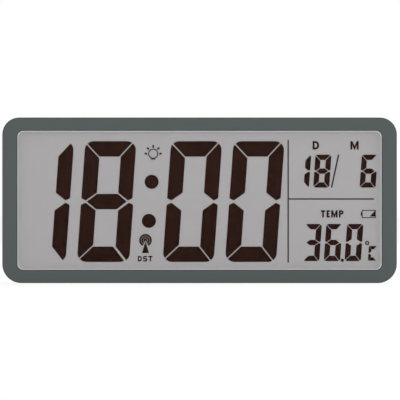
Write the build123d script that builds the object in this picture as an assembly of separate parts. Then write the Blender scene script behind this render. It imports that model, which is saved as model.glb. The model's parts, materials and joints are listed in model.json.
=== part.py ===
from build123d import *
import math
import os
from typing import NamedTuple

# Table and wall clock with one large reflective display, a folding stand and a battery door.
# Millimetres, +Z up, the display faces -Y, origin at the middle of the base.


class DigitStyle(NamedTuple):
    """Sizes of one set of seven-segment digits."""

    height: float
    width: float
    bar: float
    left: float
    right: float
    gap: float
    corner: float


# Display drawing: digit sizes
TIME = DigitStyle(height=67.42, width=28.55, bar=8.6, left=8.48, right=8.2, gap=0.6, corner=5.0)
DATE = DigitStyle(height=18.38, width=8.95, bar=2.93, left=3.0, right=3.0, gap=0.3, corner=1.5)
TEMPERATURE = DigitStyle(height=20.75, width=9.14, bar=2.99, left=3.1, right=3.1, gap=0.3, corner=1.6)
UNIT = DigitStyle(height=8.1, width=4.7, bar=1.8, left=1.55, right=1.55, gap=0.12, corner=0.5)
SLANT = 4.05
LEFT_MITRE = 45.0
RIGHT_MITRE = 40.5
LEFT_MITRE_SHARE = 0.926
TIP_SHARE = 0.3
NOTCH_SHARE = 0.22
SHOULDER_GAPS = 1.1
LIT_SEGMENTS = {"0": "abcdef", "1": "bc", "3": "abcdg", "6": "acdefg", "8": "abcdefg", "C": "adef"}

# Display drawing: spaces between the digits and to the window's edges
TIME_LEFT_MARGIN = 0.65
TIME_TOP_MARGIN = 5.74
TIME_BOTTOM_MARGIN = 4.37
TIME_GAP = 6.27
COLON_GAP = 19.31
COLON_RADIUS = 3.93
COLON_SPACING = 21.8
COLON_SHIFT = 0.4
COLON_LIFT = 0.12
EIGHT_SHIFT = 0.67
DIVIDER_GAP = 4.34
DATE_LEFT_MARGIN = 3.32
DATE_RIGHT_MARGIN = 2.68
DATE_TOP_MARGIN = 13.27
DATE_GAP = 2.33
SLASH_GAP = 3.34
SLASH_LEAD = 3.03
SLASH_RUN = 3.96
SLASH_WIDTH = 0.8
TEMPERATURE_BOTTOM_MARGIN = 4.85
TEMPERATURE_GAP = 2.46
POINT_RADIUS = 0.9
POINT_RISE = 0.47
UNIT_GAP = 3.49
UNIT_RIGHT_MARGIN = 2.62
UNIT_RISE = 0.29
DEGREE_RADIUS = 1.17
DEGREE_HOLE_RADIUS = 0.5
DEGREE_GAP = 2.78
DEGREE_DROP = 0.27
RULE_WIDTH = 0.7
RULE_GAP = 6.36
RULE_TOP_MARGIN = 5.03
RULE_BOTTOM_MARGIN = 4.0
RULE_RIGHT_MARGIN = 4.22

# Case
SIDE_BORDER = 8.4
TOP_BORDER = 7.44
BOTTOM_BORDER = 7.36
TOP_CORNER = 9.5
BOTTOM_CORNER = 10.6
WALL = 2.0
BEZEL_DEPTH = 16.0
FRONT_EDGE_RADIUS = 0.8
REAR_EDGE_RADIUS = 2.0
SEAM_CHAMFER = 0.3
LIP_DEPTH = 2.0
LIP_WALL = 1.2
LIP_CLEARANCE = 0.15

# Display window
WINDOW_CORNER = 3.3
WINDOW_CLEARANCE = 0.12
WINDOW_SETBACK = 0.4
WINDOW_CHAMFER = 0.5
WINDOW_LAP = 1.6
SILL_WIDTH = 0.5
SILL_DEPTH = 0.65

# Layers from the front face to the back of the battery box
BEZEL_FACE = 2.0
TAPE = 0.2
WINDOW_FLANGE = 1.0
WINDOW_AIR_GAP = 0.2
POLARISER = 0.25
GLASS = 1.1
CELL_GAP = 0.3
SEGMENT_GAP = 0.05
LIGHT_GUIDE = 2.2
REFLECTOR = 0.2
HOLDER_PLATE = 1.2
HOLDER_GAP = 0.1
BOX_FLOOR = 1.2
CELL_FLOOR_GAP = 0.2
CELL_DOOR_GAP = 0.3
DOOR = 2.0

# Display stack outlines
GLASS_LAP = 0.8
CONTACT_LEDGE = 2.6
SEAL_WIDTH = 0.7
RIM_WALL = 0.8
RIM_CLEARANCE = 0.15
STRIP_THICKNESS = 2.0
STRIP_CLEARANCE = 0.15
STRIP_END_MARGIN = 6.0
LED_BOARD = 0.6
LED_BOARD_LENGTH = 60.0
LED_DEPTH = 0.9
LED_HEIGHT = 1.8
LED_LENGTH = 3.5
LED_COUNT = 3
LED_PITCH = 20.0
LED_GUIDE_GAP = 0.1

# Main board and what it carries
BOARD = 1.6
BOARD_HEIGHT = 16.5
BOARD_END_MARGIN = 4.4
STAKE_RADIUS = 1.0
STAKE_HEAD_RADIUS = 1.8
STAKE_HEAD = 0.8
STAKE_HOLE_CLEARANCE = 0.1
STAKE_PITCH = 45.0
STAKE_RISE = 8.0
CHIP_RADIUS = 6.0
CHIP_DOME = 1.8
CHIP_X = -20.0
CRYSTAL_LENGTH = 11.0
CRYSTAL_WIDTH = 4.6
CRYSTAL_HEIGHT = 3.5
CRYSTAL_X = 20.0
RADIO_CHIP_LENGTH = 10.0
RADIO_CHIP_WIDTH = 5.0
RADIO_CHIP_HEIGHT = 1.7
RADIO_CHIP_X = -36.0
CAPACITOR_RADIUS = 2.5
CAPACITOR_HEIGHT = 7.0
CAPACITOR_X = 60.0
PACKAGE_EDGE = 0.4
SENSOR_X = -85.0
SENSOR_RADIUS = 1.5
SENSOR_LEAD_RADIUS = 0.3
SENSOR_LEAD_PITCH = 1.4
SENSOR_WALL_GAP = 1.2

# Antenna
ROD_RADIUS = 4.0
ROD_LENGTH = 60.0
ROD_DROP = 14.5
ROD_FIT = 0.05
COIL_WALL = 1.5
COIL_LENGTH = 20.0
COIL_GAP_TO_HOLDER = 0.4
SADDLE_WIDTH = 4.0
SADDLE_CHEEK = 1.4
SADDLE_PITCH = 46.0
ANTENNA_LEAD_RADIUS = 0.3
ANTENNA_LEAD_BEND = 2.4

# Screws that join the halves of the case through the holder's ears
BOSS_RADIUS = 2.2
BOSS_BITE = 0.1
SCREW_END_MARGIN = 14.0
PILOT_RADIUS = 0.85
PILOT_SPARE = 0.8
SCREW_FIT = 0.03
SCREW_GRIP = 5.0
SCREW_HOLE_RADIUS = 1.1
SCREW_HEAD_RADIUS = 1.8
SCREW_HEAD = 1.5
SCREW_HEAD_CLEARANCE = 0.15
SCREW_SEAT = 1.5
CROSS_WIDTH = 0.5
CROSS_LENGTH = 2.2
CROSS_DEPTH = 0.8
EAR_CLEARANCE = 0.2
POST_RADIUS = 3.0
POST_STEP = 0.3

# Battery cells, contacts and box
CELL_DIAMETER = 14.2
CELL_LENGTH = 50.5
CELL_NUB_RADIUS = 2.75
CELL_NUB = 1.2
CELL_EDGE = 0.6
CELL_SIDE_GAP = 0.4
PLATE = 0.4
PLATE_SIZE = 10.0
DIMPLE = 0.6
DIMPLE_RADIUS = 2.0
CONTACT_GAP = 0.05
TAIL_LENGTH = 2.0
TAIL_WIDTH = 2.0
TAIL_CLEARANCE = 0.1
SPRING_LENGTH = 6.0
SPRING_WIRE_RADIUS = 0.35
SPRING_BASE_RADIUS = 4.4
SPRING_TIP_RADIUS = 2.8
SPRING_TURNS = 3.5
STEPS_PER_TURN = 4
GAP_SAMPLES_PER_TURN = 36
BOX_WALL = 2.0
BOX_SPACING = 6.0
BOX_BOARD_SPACING = 1.5
LEAD_RADIUS = 0.6
LEAD_BEND = 2.6
RED_LEAD_RUN = 3.6
BLACK_LEAD_RUN = 6.4

# Battery door and its latch
DOOR_LAP = 1.2
DOOR_GAP = 0.25
BARREL_RADIUS = 1.4
BARREL_GAP = 0.3
DOOR_PIN_RADIUS = 0.8
DOOR_PIN_LENGTH = 2.0
PIN_FIT = 0.06
PIN_END_GAP = 0.3
LUG_WALL = 1.4
LATCH_WIDTH = 12.0
LATCH_CLEARANCE = 0.4
LATCH_STRIP = 1.0
LATCH_SLOT = 1.6
LATCH_LEG = 4.5
LATCH_CATCH = 0.6
LATCH_CATCH_HEIGHT = 0.9
LATCH_TOP_SETBACK = 0.6
LATCH_WALL = 1.2
GRIP_COUNT = 4
GRIP_PITCH = 2.4
GRIP_WIDTH = 1.0
GRIP_DEPTH = 0.5
GRIP_LENGTH = 12.0
GRIP_MARGIN = 4.0

# Folding stand
STAND_WIDTH = 50.0
STAND_LENGTH = 57.0
STAND_THICKNESS = 3.0
STAND_FOOT_RISE = 5.0
STAND_OPENING = 40.0
STAND_SIDE_GAP = 0.4
STAND_FOOT_GAP = 1.6
STAND_SETBACK = 0.2
STAND_CORNER = 4.0
STAND_BARREL_RADIUS = 1.9
STAND_FLOOR_GAP = 0.35
STAND_HEAD_GAP = 0.9
STAND_PIN_RADIUS = 1.2
STAND_PIN_LENGTH = 2.0
HEEL_THICKNESS = 1.6
HEEL_GAP = 0.1
NOTCH_WIDTH = 14.0
NOTCH_HEIGHT = 6.0
PANEL_MARGIN = 6.0
PANEL_DEPTH = 0.8
PANEL_CORNER = 2.5
POCKET_WALL = 2.6
POCKET_FLOOR = 1.6

# Wall keyholes
KEYHOLE_SPACING = 120.0
KEYHOLE_DROP = 20.0
KEYHOLE_ENTRY_RADIUS = 4.2
KEYHOLE_SLOT_RADIUS = 2.2
KEYHOLE_RISE = 7.0
KEYHOLE_DEPTH = 4.6
KEYHOLE_ROOM = 1.2
KEYHOLE_WALL = 1.2

# Push buttons, their switches and the key board
BUTTON_NAMES = ("set", "up", "down", "wave", "light")
BUTTON_RADIUS = 3.4
BUTTON_PITCH = 11.0
BUTTON_EDGE_MARGIN = 18.0
BUTTON_RISE = 42.0
BUTTON_CLEARANCE = 0.3
BUTTON_SETBACK = 0.3
BUTTON_CROWN = 0.7
BUTTON_FLANGE = 0.8
BUTTON_FLANGE_LAP = 0.9
BUTTON_WALL_GAP = 0.05
BUTTON_TRAVEL = 0.5
KEY_POCKET_DEPTH = 1.5
KEY_POCKET_MARGIN = 4.6
KEY_POCKET_CORNER = 3.0
KEY_WALL = 1.6
PLUNGER_RADIUS = 1.7
PLUNGER_HEIGHT = 1.5
PLUNGER_ROOT = 1.0
PLUNGER_FIT = 0.05
PLUNGER_END_GAP = 0.3
SWITCH_SIZE = 6.0
SWITCH_HEIGHT = 3.5
KEY_BOARD_HEIGHT = 13.0
KEY_BOARD_END = 3.0
KEY_POST_RADIUS = 2.4
KEY_POST_SPACING = 7.6
KEY_SCREW_GRIP = 4.5
KEY_SCREW_HEAD = 1.3
RIBBON_X = -59.0
RIBBON_WIDTH = 8.0
RIBBON_THICKNESS = 0.4
RIBBON_BEND = 2.2
RIBBON_DROP = 4.5
RIBBON_LANDING = 11.0

# Vents beside the temperature sensor
VENT_COUNT = 6
VENT_PITCH = 3.6
VENT_WIDTH = 1.6
VENT_HEIGHT = 9.0

# Overlap that joins features of one piece
BITE = 0.2

# Widths and heights that follow from the display drawing
DATE_COLUMN = DATE_LEFT_MARGIN + 4 * DATE.width + 3 * DATE_GAP + SLASH_GAP + DATE_RIGHT_MARGIN
TIME_ROW = TIME_LEFT_MARGIN + 4 * TIME.width + 2 * TIME_GAP + COLON_GAP
WINDOW_WIDTH = TIME_ROW + DIVIDER_GAP + DATE_COLUMN
WINDOW_HEIGHT = TIME_BOTTOM_MARGIN + TIME.height + TIME_TOP_MARGIN
CASE_WIDTH = WINDOW_WIDTH + 2 * SIDE_BORDER
CASE_HEIGHT = BOTTOM_BORDER + WINDOW_HEIGHT + TOP_BORDER
WINDOW_LEFT = -WINDOW_WIDTH / 2
WINDOW_RIGHT = WINDOW_WIDTH / 2
WINDOW_BOTTOM = BOTTOM_BORDER
WINDOW_TOP = BOTTOM_BORDER + WINDOW_HEIGHT
DIVIDER_X = WINDOW_LEFT + TIME_ROW + DIVIDER_GAP
LEAN = math.tan(math.radians(SLANT))

# Depths that follow from the layers, front to back
DISPLAY_STACK = 2 * POLARISER + 2 * GLASS + CELL_GAP + LIGHT_GUIDE + REFLECTOR
WINDOW_STACK = BEZEL_FACE + TAPE + WINDOW_FLANGE + WINDOW_AIR_GAP
BOX_STACK = HOLDER_GAP + BOX_FLOOR + CELL_FLOOR_GAP + CELL_DIAMETER + CELL_DOOR_GAP + DOOR
CASE_DEPTH = WINDOW_STACK + DISPLAY_STACK + HOLDER_PLATE + BOX_STACK
FRONT_Y = -CASE_DEPTH / 2
REAR_Y = CASE_DEPTH / 2
PARTING_Y = FRONT_Y + BEZEL_DEPTH
FACE_BACK_Y = FRONT_Y + BEZEL_FACE
FLANGE_FRONT_Y = FACE_BACK_Y + TAPE
FLANGE_BACK_Y = FLANGE_FRONT_Y + WINDOW_FLANGE
FRONT_FILM_Y = FLANGE_BACK_Y + WINDOW_AIR_GAP
FRONT_GLASS_Y = FRONT_FILM_Y + POLARISER
CELL_FRONT_Y = FRONT_GLASS_Y + GLASS
SEGMENT_Y = CELL_FRONT_Y + SEGMENT_GAP
CELL_BACK_Y = CELL_FRONT_Y + CELL_GAP
REAR_FILM_Y = CELL_BACK_Y + GLASS
GUIDE_Y = REAR_FILM_Y + POLARISER
REFLECTOR_Y = GUIDE_Y + LIGHT_GUIDE
HOLDER_Y = REFLECTOR_Y + REFLECTOR
BOARD_Y = HOLDER_Y + HOLDER_PLATE
BOARD_BACK_Y = BOARD_Y + BOARD
REAR_WALL_Y = REAR_Y - DOOR

# Display stack outline
GLASS_HALF = WINDOW_WIDTH / 2 + GLASS_LAP
GLASS_TOP = WINDOW_TOP + GLASS_LAP
GLASS_BOTTOM = WINDOW_BOTTOM - GLASS_LAP
LEDGE_BOTTOM = GLASS_BOTTOM - CONTACT_LEDGE
RIM_INSIDE = GLASS_HALF + RIM_CLEARANCE
RIM_OUTSIDE = RIM_INSIDE + RIM_WALL
STRIP_Z = GLASS_BOTTOM - CONTACT_LEDGE / 2
STRIP_HALF = GLASS_HALF - STRIP_END_MARGIN

# Main board outline
BOARD_HALF = GLASS_HALF - BOARD_END_MARGIN
BOARD_TOP = LEDGE_BOTTOM + BOARD_HEIGHT
PART_Z = LEDGE_BOTTOM + STAKE_RISE
LANDING_Z = LEDGE_BOTTOM + RIBBON_LANDING

# Antenna place
COIL_RADIUS = ROD_RADIUS + ROD_FIT + COIL_WALL
ROD_Y = BOARD_Y + COIL_GAP_TO_HOLDER + COIL_RADIUS
ROD_Z = CASE_HEIGHT - ROD_DROP

# Case screw places
SCREW_X = CASE_WIDTH / 2 - WALL - BOSS_RADIUS + BOSS_BITE
SCREW_LOW_Z = SCREW_END_MARGIN
SCREW_HIGH_Z = CASE_HEIGHT - SCREW_END_MARGIN
SCREW_PLACES = [(x, z) for x in (-SCREW_X, SCREW_X) for z in (SCREW_LOW_Z, SCREW_HIGH_Z)]
SCREW_SEAT_Y = PARTING_Y + POST_STEP + SCREW_SEAT

# Stand and its pocket
STAND_AXIS_Y = REAR_Y - STAND_SETBACK - STAND_BARREL_RADIUS
STAND_AXIS_Z = STAND_FOOT_RISE + STAND_LENGTH
STAND_FLOOR_Y = STAND_AXIS_Y - STAND_BARREL_RADIUS - STAND_FLOOR_GAP
STAND_POCKET_HALF = STAND_WIDTH / 2 + STAND_SIDE_GAP
STAND_POCKET_LOW = STAND_FOOT_RISE - STAND_FOOT_GAP
STOP_ANGLE = math.radians(STAND_OPENING)
HEEL_REACH = STAND_BARREL_RADIUS + STAND_FLOOR_GAP - HEEL_GAP - HEEL_THICKNESS / 2 * math.cos(STOP_ANGLE)
HEEL_HEIGHT = HEEL_REACH / math.sin(STOP_ANGLE)
STAND_POCKET_HIGH = STAND_AXIS_Z + HEEL_HEIGHT + STAND_HEAD_GAP

# Battery box
BOX_LEFT = STAND_POCKET_HALF + POCKET_WALL + BOX_SPACING + BOX_WALL
BOX_RIGHT = BOX_LEFT + 2 * PLATE + DIMPLE + CONTACT_GAP + CELL_LENGTH + SPRING_LENGTH
BOX_BOTTOM = BOARD_TOP + BOX_BOARD_SPACING + BOX_WALL
BOX_TOP = BOX_BOTTOM + 2 * CELL_DIAMETER + 3 * CELL_SIDE_GAP
BOX_MIDDLE_Z = (BOX_BOTTOM + BOX_TOP) / 2
BOX_FLOOR_Y = BOARD_Y + HOLDER_GAP
CELL_AXIS_Y = REAR_WALL_Y - CELL_DOOR_GAP - CELL_DIAMETER / 2
LOWER_CELL_Z = BOX_BOTTOM + CELL_SIDE_GAP + CELL_DIAMETER / 2
UPPER_CELL_Z = LOWER_CELL_Z + CELL_DIAMETER + CELL_SIDE_GAP
TAIL_X = BOX_LEFT - BOX_WALL - TAIL_LENGTH

# Battery door and latch
DOOR_LEFT = BOX_LEFT - DOOR_LAP
DOOR_RIGHT = BOX_RIGHT + DOOR_LAP
DOOR_BOTTOM = BOX_BOTTOM - DOOR_LAP
DOOR_TOP = BOX_TOP + DOOR_LAP
DOOR_AXIS_X = DOOR_LEFT + BARREL_RADIUS
DOOR_AXIS_Y = REAR_Y - BARREL_RADIUS
LATCH_LEFT = BOX_RIGHT + BOX_WALL + LATCH_CLEARANCE
LATCH_MIDDLE_X = LATCH_LEFT + LATCH_STRIP + LATCH_SLOT / 2
LATCH_RIGHT = LATCH_LEFT + 2 * LATCH_STRIP + LATCH_SLOT
LATCH_BEND_Y = REAR_WALL_Y - LATCH_LEG
LATCH_LOW_Y = LATCH_BEND_Y - LATCH_SLOT / 2 - LATCH_STRIP
LATCH_ROOM = LATCH_CATCH + LATCH_CLEARANCE

# Buttons and key board
BUTTON_XS = [-CASE_WIDTH / 2 + BUTTON_EDGE_MARGIN + BUTTON_PITCH * i for i in range(len(BUTTON_NAMES))]
KEY_WALL_Y = REAR_Y - KEY_POCKET_DEPTH - KEY_WALL
CAP_BACK_Y = REAR_Y - BUTTON_SETBACK
CAP_SHOULDER_Y = KEY_WALL_Y - BUTTON_WALL_GAP
CAP_FRONT_Y = CAP_SHOULDER_Y - BUTTON_FLANGE
SWITCH_BACK_Y = CAP_FRONT_Y - PLUNGER_HEIGHT
KEY_BOARD_BACK_Y = SWITCH_BACK_Y - SWITCH_HEIGHT
KEY_BOARD_FRONT_Y = KEY_BOARD_BACK_Y - BOARD
KEY_POST_XS = (BUTTON_XS[0] - KEY_POST_SPACING, BUTTON_XS[-1] + KEY_POST_SPACING)

# Keyhole places
KEYHOLE_XS = (-KEYHOLE_SPACING / 2, KEYHOLE_SPACING / 2)
KEYHOLE_Z = CASE_HEIGHT - KEYHOLE_DROP


def block(x_low, x_high, y_low, y_high, z_low, z_high):
    """Box between two corners."""
    middle = Pos((x_low + x_high) / 2, (y_low + y_high) / 2, (z_low + z_high) / 2)
    return middle * Box(x_high - x_low, y_high - y_low, z_high - z_low)


def slab(profile, y_front, y_rear):
    """Solid of an upright profile, drawn in X and Z, between two depths."""
    return extrude(Plane.XZ.offset(-y_rear) * profile, amount=y_rear - y_front, dir=(0, -1, 0))


def rod_x(y, z, radius, x_low, x_high):
    """Round rod along X."""
    return Pos((x_low + x_high) / 2, y, z) * Rot(0, 90, 0) * Cylinder(radius, x_high - x_low)


def rod_y(x, z, radius, y_low, y_high):
    """Round rod along Y."""
    return Pos(x, (y_low + y_high) / 2, z) * Rot(90, 0, 0) * Cylinder(radius, y_high - y_low)


def rod_z(x, y, radius, z_low, z_high):
    """Round rod along Z."""
    return Pos(x, y, (z_low + z_high) / 2) * Cylinder(radius, z_high - z_low)


def group(shapes):
    """Several separate solids kept together as one piece."""
    return Compound([solid for shape in shapes for solid in shape.solids()])


def front_edges(body):
    """Edges of a body that lie in its foremost plane."""
    return body.edges().group_by(Axis.Y)[0]


def rear_edges(body):
    """Edges of a body that lie in its rearmost plane."""
    return body.edges().group_by(Axis.Y)[-1]


def case_profile(inset=0.0):
    """Outline of the case, drawn inwards by the inset."""
    outline = Pos(0, CASE_HEIGHT / 2) * Rectangle(CASE_WIDTH - 2 * inset, CASE_HEIGHT - 2 * inset)
    outline = fillet(outline.vertices().group_by(Axis.Y)[-1], TOP_CORNER - inset)
    return fillet(outline.vertices().group_by(Axis.Y)[0], BOTTOM_CORNER - inset)


def window_profile(growth=0.0):
    """Outline of the display opening, drawn outwards by the growth."""
    width = WINDOW_WIDTH + 2 * growth
    height = WINDOW_HEIGHT + 2 * growth
    middle_z = (WINDOW_BOTTOM + WINDOW_TOP) / 2
    return Pos(0, middle_z) * RectangleRounded(width, height, WINDOW_CORNER + growth)


def front_bezel():
    body = slab(case_profile(), FRONT_Y, PARTING_Y)
    body = fillet(front_edges(body), FRONT_EDGE_RADIUS)
    body = chamfer(rear_edges(body), SEAM_CHAMFER)
    body -= slab(case_profile(WALL), FACE_BACK_Y, PARTING_Y)
    body -= slab(window_profile(), FRONT_Y, FACE_BACK_Y)
    face = body.faces().sort_by(Axis.Y)[0]
    body = chamfer(face.inner_wires()[0].edges(), SILL_WIDTH, SILL_DEPTH, reference=face)
    for x, z in SCREW_PLACES:
        body += rod_y(x, z, BOSS_RADIUS, FACE_BACK_Y - BITE, HOLDER_Y)
    for x, z in SCREW_PLACES:
        body -= rod_y(x, z, PILOT_RADIUS, HOLDER_Y - SCREW_GRIP - PILOT_SPARE, HOLDER_Y)
    return body


def display_window():
    island = slab(window_profile(-WINDOW_CLEARANCE), FRONT_Y + WINDOW_SETBACK, FLANGE_FRONT_Y)
    island = chamfer(front_edges(island), WINDOW_CHAMFER)
    return island + slab(window_profile(WINDOW_LAP), FLANGE_FRONT_Y, FLANGE_BACK_Y)


def window_tape():
    ring = window_profile(WINDOW_LAP) - window_profile(WINDOW_CLEARANCE)
    return slab(ring, FACE_BACK_Y, FLANGE_FRONT_Y)


def display_layer(y_front, thickness, bottom=GLASS_BOTTOM):
    """Flat layer of the display stack with the outline of the glass."""
    return block(-GLASS_HALF, GLASS_HALF, y_front, y_front + thickness, bottom, GLASS_TOP)


def lcd_cell_seal():
    outer = display_layer(CELL_FRONT_Y, CELL_GAP)
    half = GLASS_HALF - SEAL_WIDTH
    low = GLASS_BOTTOM + SEAL_WIDTH
    high = GLASS_TOP - SEAL_WIDTH
    return outer - block(-half, half, CELL_FRONT_Y, CELL_BACK_Y, low, high)


def segment_corners(segment, style):
    """Corners of one segment before the slant, counter-clockwise from the lower left of its cell.

    The outer ends run past the cell, whose rounded outline trims them.
    """
    height, width, bar, left, right, gap, _ = style
    middle = height / 2
    beyond = height + bar

    def mitre(angle):
        run = math.tan(math.radians(angle))
        side = gap / 2 / math.cos(math.radians(angle))
        return run, side

    def upper_side(upright, foot, angle):
        run, side = mitre(angle)
        notch = middle + NOTCH_SHARE * bar
        return [
            (upright, height - bar + (foot - side - upright) / run),
            (foot - side - 2 * bar * run, beyond),
            (-2 * width, beyond),
            (-2 * width, notch),
            (0, notch),
            (upright * TIP_SHARE, middle + gap),
            (upright, middle + bar / 2 + SHOULDER_GAPS * gap),
        ]

    def middle_end(upright):
        inner = upright + gap / 4
        return [(inner, middle + bar / 2), (upright * TIP_SHARE + gap, middle), (inner, middle - bar / 2)]

    def upside_down(corners):
        return [(u, height - v) for u, v in reversed(corners)]

    def other_hand(corners):
        return [(width - u, v) for u, v in reversed(corners)]

    left_run, left_side = mitre(LEFT_MITRE)
    right_run, right_side = mitre(RIGHT_MITRE)
    left_foot = bar * LEFT_MITRE_SHARE
    left_upper = upper_side(left, left_foot, LEFT_MITRE)
    right_upper = other_hand(upper_side(right, bar, RIGHT_MITRE))
    top = [
        (left_foot + left_side, height - bar),
        (width - bar - right_side, height - bar),
        (width - bar - right_side + 2 * bar * right_run, beyond),
        (left_foot + left_side - 2 * bar * left_run, beyond),
    ]
    corners = {
        "a": top,
        "b": right_upper,
        "c": upside_down(right_upper),
        "d": upside_down(top),
        "e": upside_down(left_upper),
        "f": left_upper,
        "g": middle_end(left) + other_hand(middle_end(right)),
    }
    return corners[segment]


def digit(segments, left, bottom, style):
    """Named segments of one slanted digit, whose left edge is given at its middle height."""

    def slanted(corners):
        points = [(left + u + (v - style.height / 2) * LEAN, bottom + v) for u, v in corners]
        return Polygon(*points)

    cell = slanted([(0, 0), (style.width, 0), (style.width, style.height), (0, style.height)])
    cell = fillet(cell.vertices(), style.corner)
    shapes = [cell & slanted(segment_corners(segment, style)) for segment in segments]
    return [slab(shape, SEGMENT_Y, CELL_BACK_Y) for shape in shapes]


def disc(x, z, radius):
    """Round dot of the display drawing."""
    return rod_y(x, z, radius, SEGMENT_Y, CELL_BACK_Y)


TIME_BOTTOM = WINDOW_BOTTOM + TIME_BOTTOM_MARGIN
HOUR_LEFT = WINDOW_LEFT + TIME_LEFT_MARGIN
MINUTE_LEFT = HOUR_LEFT + 2 * TIME.width + TIME_GAP + COLON_GAP
TIME_STEP = TIME.width + TIME_GAP


def time_digits():
    eight_left = HOUR_LEFT + TIME_STEP
    places = (
        (LIT_SEGMENTS["1"], HOUR_LEFT),
        (LIT_SEGMENTS["8"].replace("c", ""), eight_left),
        ("c", eight_left + EIGHT_SHIFT),
        (LIT_SEGMENTS["0"], MINUTE_LEFT),
        (LIT_SEGMENTS["0"], MINUTE_LEFT + TIME_STEP),
    )
    return group([part for segments, left in places for part in digit(segments, left, TIME_BOTTOM, TIME)])


def colon_dots():
    middle_x = MINUTE_LEFT - COLON_GAP / 2 + COLON_SHIFT
    middle_z = TIME_BOTTOM + TIME.height / 2 + COLON_LIFT
    rise = COLON_SPACING / 2
    return group([disc(middle_x + up * LEAN, middle_z + up, COLON_RADIUS) for up in (-rise, rise)])


DATE_TOP = WINDOW_TOP - DATE_TOP_MARGIN
DATE_BOTTOM = DATE_TOP - DATE.height
DATE_STEP = DATE.width + DATE_GAP
DAY_LEFT = DIVIDER_X + DATE_LEFT_MARGIN
MONTH_LEFT = DAY_LEFT + 2 * DATE_STEP + SLASH_GAP


def date_digits():
    places = zip("186", (DAY_LEFT, DAY_LEFT + DATE_STEP, MONTH_LEFT + DATE_STEP))
    parts = []
    for character, left in places:
        parts += digit(LIT_SEGMENTS[character], left, DATE_BOTTOM, DATE)
    slash_x = MONTH_LEFT - SLASH_LEAD
    half = SLASH_WIDTH / 2
    run = SLASH_RUN / 2
    corners = [
        (slash_x - run - half, DATE_BOTTOM),
        (slash_x - run + half, DATE_BOTTOM),
        (slash_x + run + half, DATE_TOP),
        (slash_x + run - half, DATE_TOP),
    ]
    return group(parts + [slab(Polygon(*corners), SEGMENT_Y, CELL_BACK_Y)])


def temperature_digits():
    bottom = WINDOW_BOTTOM + TEMPERATURE_BOTTOM_MARGIN
    middle = bottom + TEMPERATURE.height / 2
    right = WINDOW_RIGHT - UNIT_RIGHT_MARGIN - UNIT.width - UNIT_GAP
    step = TEMPERATURE.width + TEMPERATURE_GAP
    tenths_left = right - TEMPERATURE.width
    places = zip("360", (tenths_left - 2 * step, tenths_left - step, tenths_left))
    parts = []
    for character, left in places:
        parts += digit(LIT_SEGMENTS[character], left, bottom, TEMPERATURE)
    point_x = tenths_left - TEMPERATURE_GAP / 2 - (TEMPERATURE.height / 2 - POINT_RISE) * LEAN
    parts.append(disc(point_x, bottom + POINT_RISE, POINT_RADIUS))
    ring_z = middle - DEGREE_DROP
    ring = disc(right + DEGREE_GAP, ring_z, DEGREE_RADIUS)
    parts.append(ring - disc(right + DEGREE_GAP, ring_z, DEGREE_HOLE_RADIUS))
    parts += digit(LIT_SEGMENTS["C"], right + UNIT_GAP, bottom + UNIT_RISE, UNIT)
    return group(parts)


def display_rules():
    half = RULE_WIDTH / 2
    upright_low = WINDOW_BOTTOM + RULE_BOTTOM_MARGIN
    upright_high = WINDOW_TOP - RULE_TOP_MARGIN
    level_z = DATE_BOTTOM - RULE_GAP
    level_right = WINDOW_RIGHT - RULE_RIGHT_MARGIN
    upright = block(DIVIDER_X - half, DIVIDER_X + half, SEGMENT_Y, CELL_BACK_Y, upright_low, upright_high)
    return upright + block(DIVIDER_X, level_right, SEGMENT_Y, CELL_BACK_Y, level_z - half, level_z + half)


GUIDE_LEFT = -RIM_INSIDE + LED_BOARD + LED_DEPTH + LED_GUIDE_GAP
LED_MIDDLE_Z = (GLASS_BOTTOM + GLASS_TOP) / 2


def light_guide():
    return block(GUIDE_LEFT, GLASS_HALF, GUIDE_Y, REFLECTOR_Y, GLASS_BOTTOM, GLASS_TOP)


def led_board():
    low = LED_MIDDLE_Z - LED_BOARD_LENGTH / 2
    return block(-RIM_INSIDE, -RIM_INSIDE + LED_BOARD, GUIDE_Y, REFLECTOR_Y, low, low + LED_BOARD_LENGTH)


def backlight_leds():
    left = -RIM_INSIDE + LED_BOARD
    middle_y = (GUIDE_Y + REFLECTOR_Y) / 2
    lamps = []
    for i in range(LED_COUNT):
        middle_z = LED_MIDDLE_Z + LED_PITCH * (i - (LED_COUNT - 1) / 2)
        lamps.append(
            block(
                left,
                left + LED_DEPTH,
                middle_y - LED_HEIGHT / 2,
                middle_y + LED_HEIGHT / 2,
                middle_z - LED_LENGTH / 2,
                middle_z + LED_LENGTH / 2,
            )
        )
    return group(lamps)


STAKE_XS = [STAKE_PITCH * i for i in (-2, -1, 0, 1, 2)]


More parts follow.
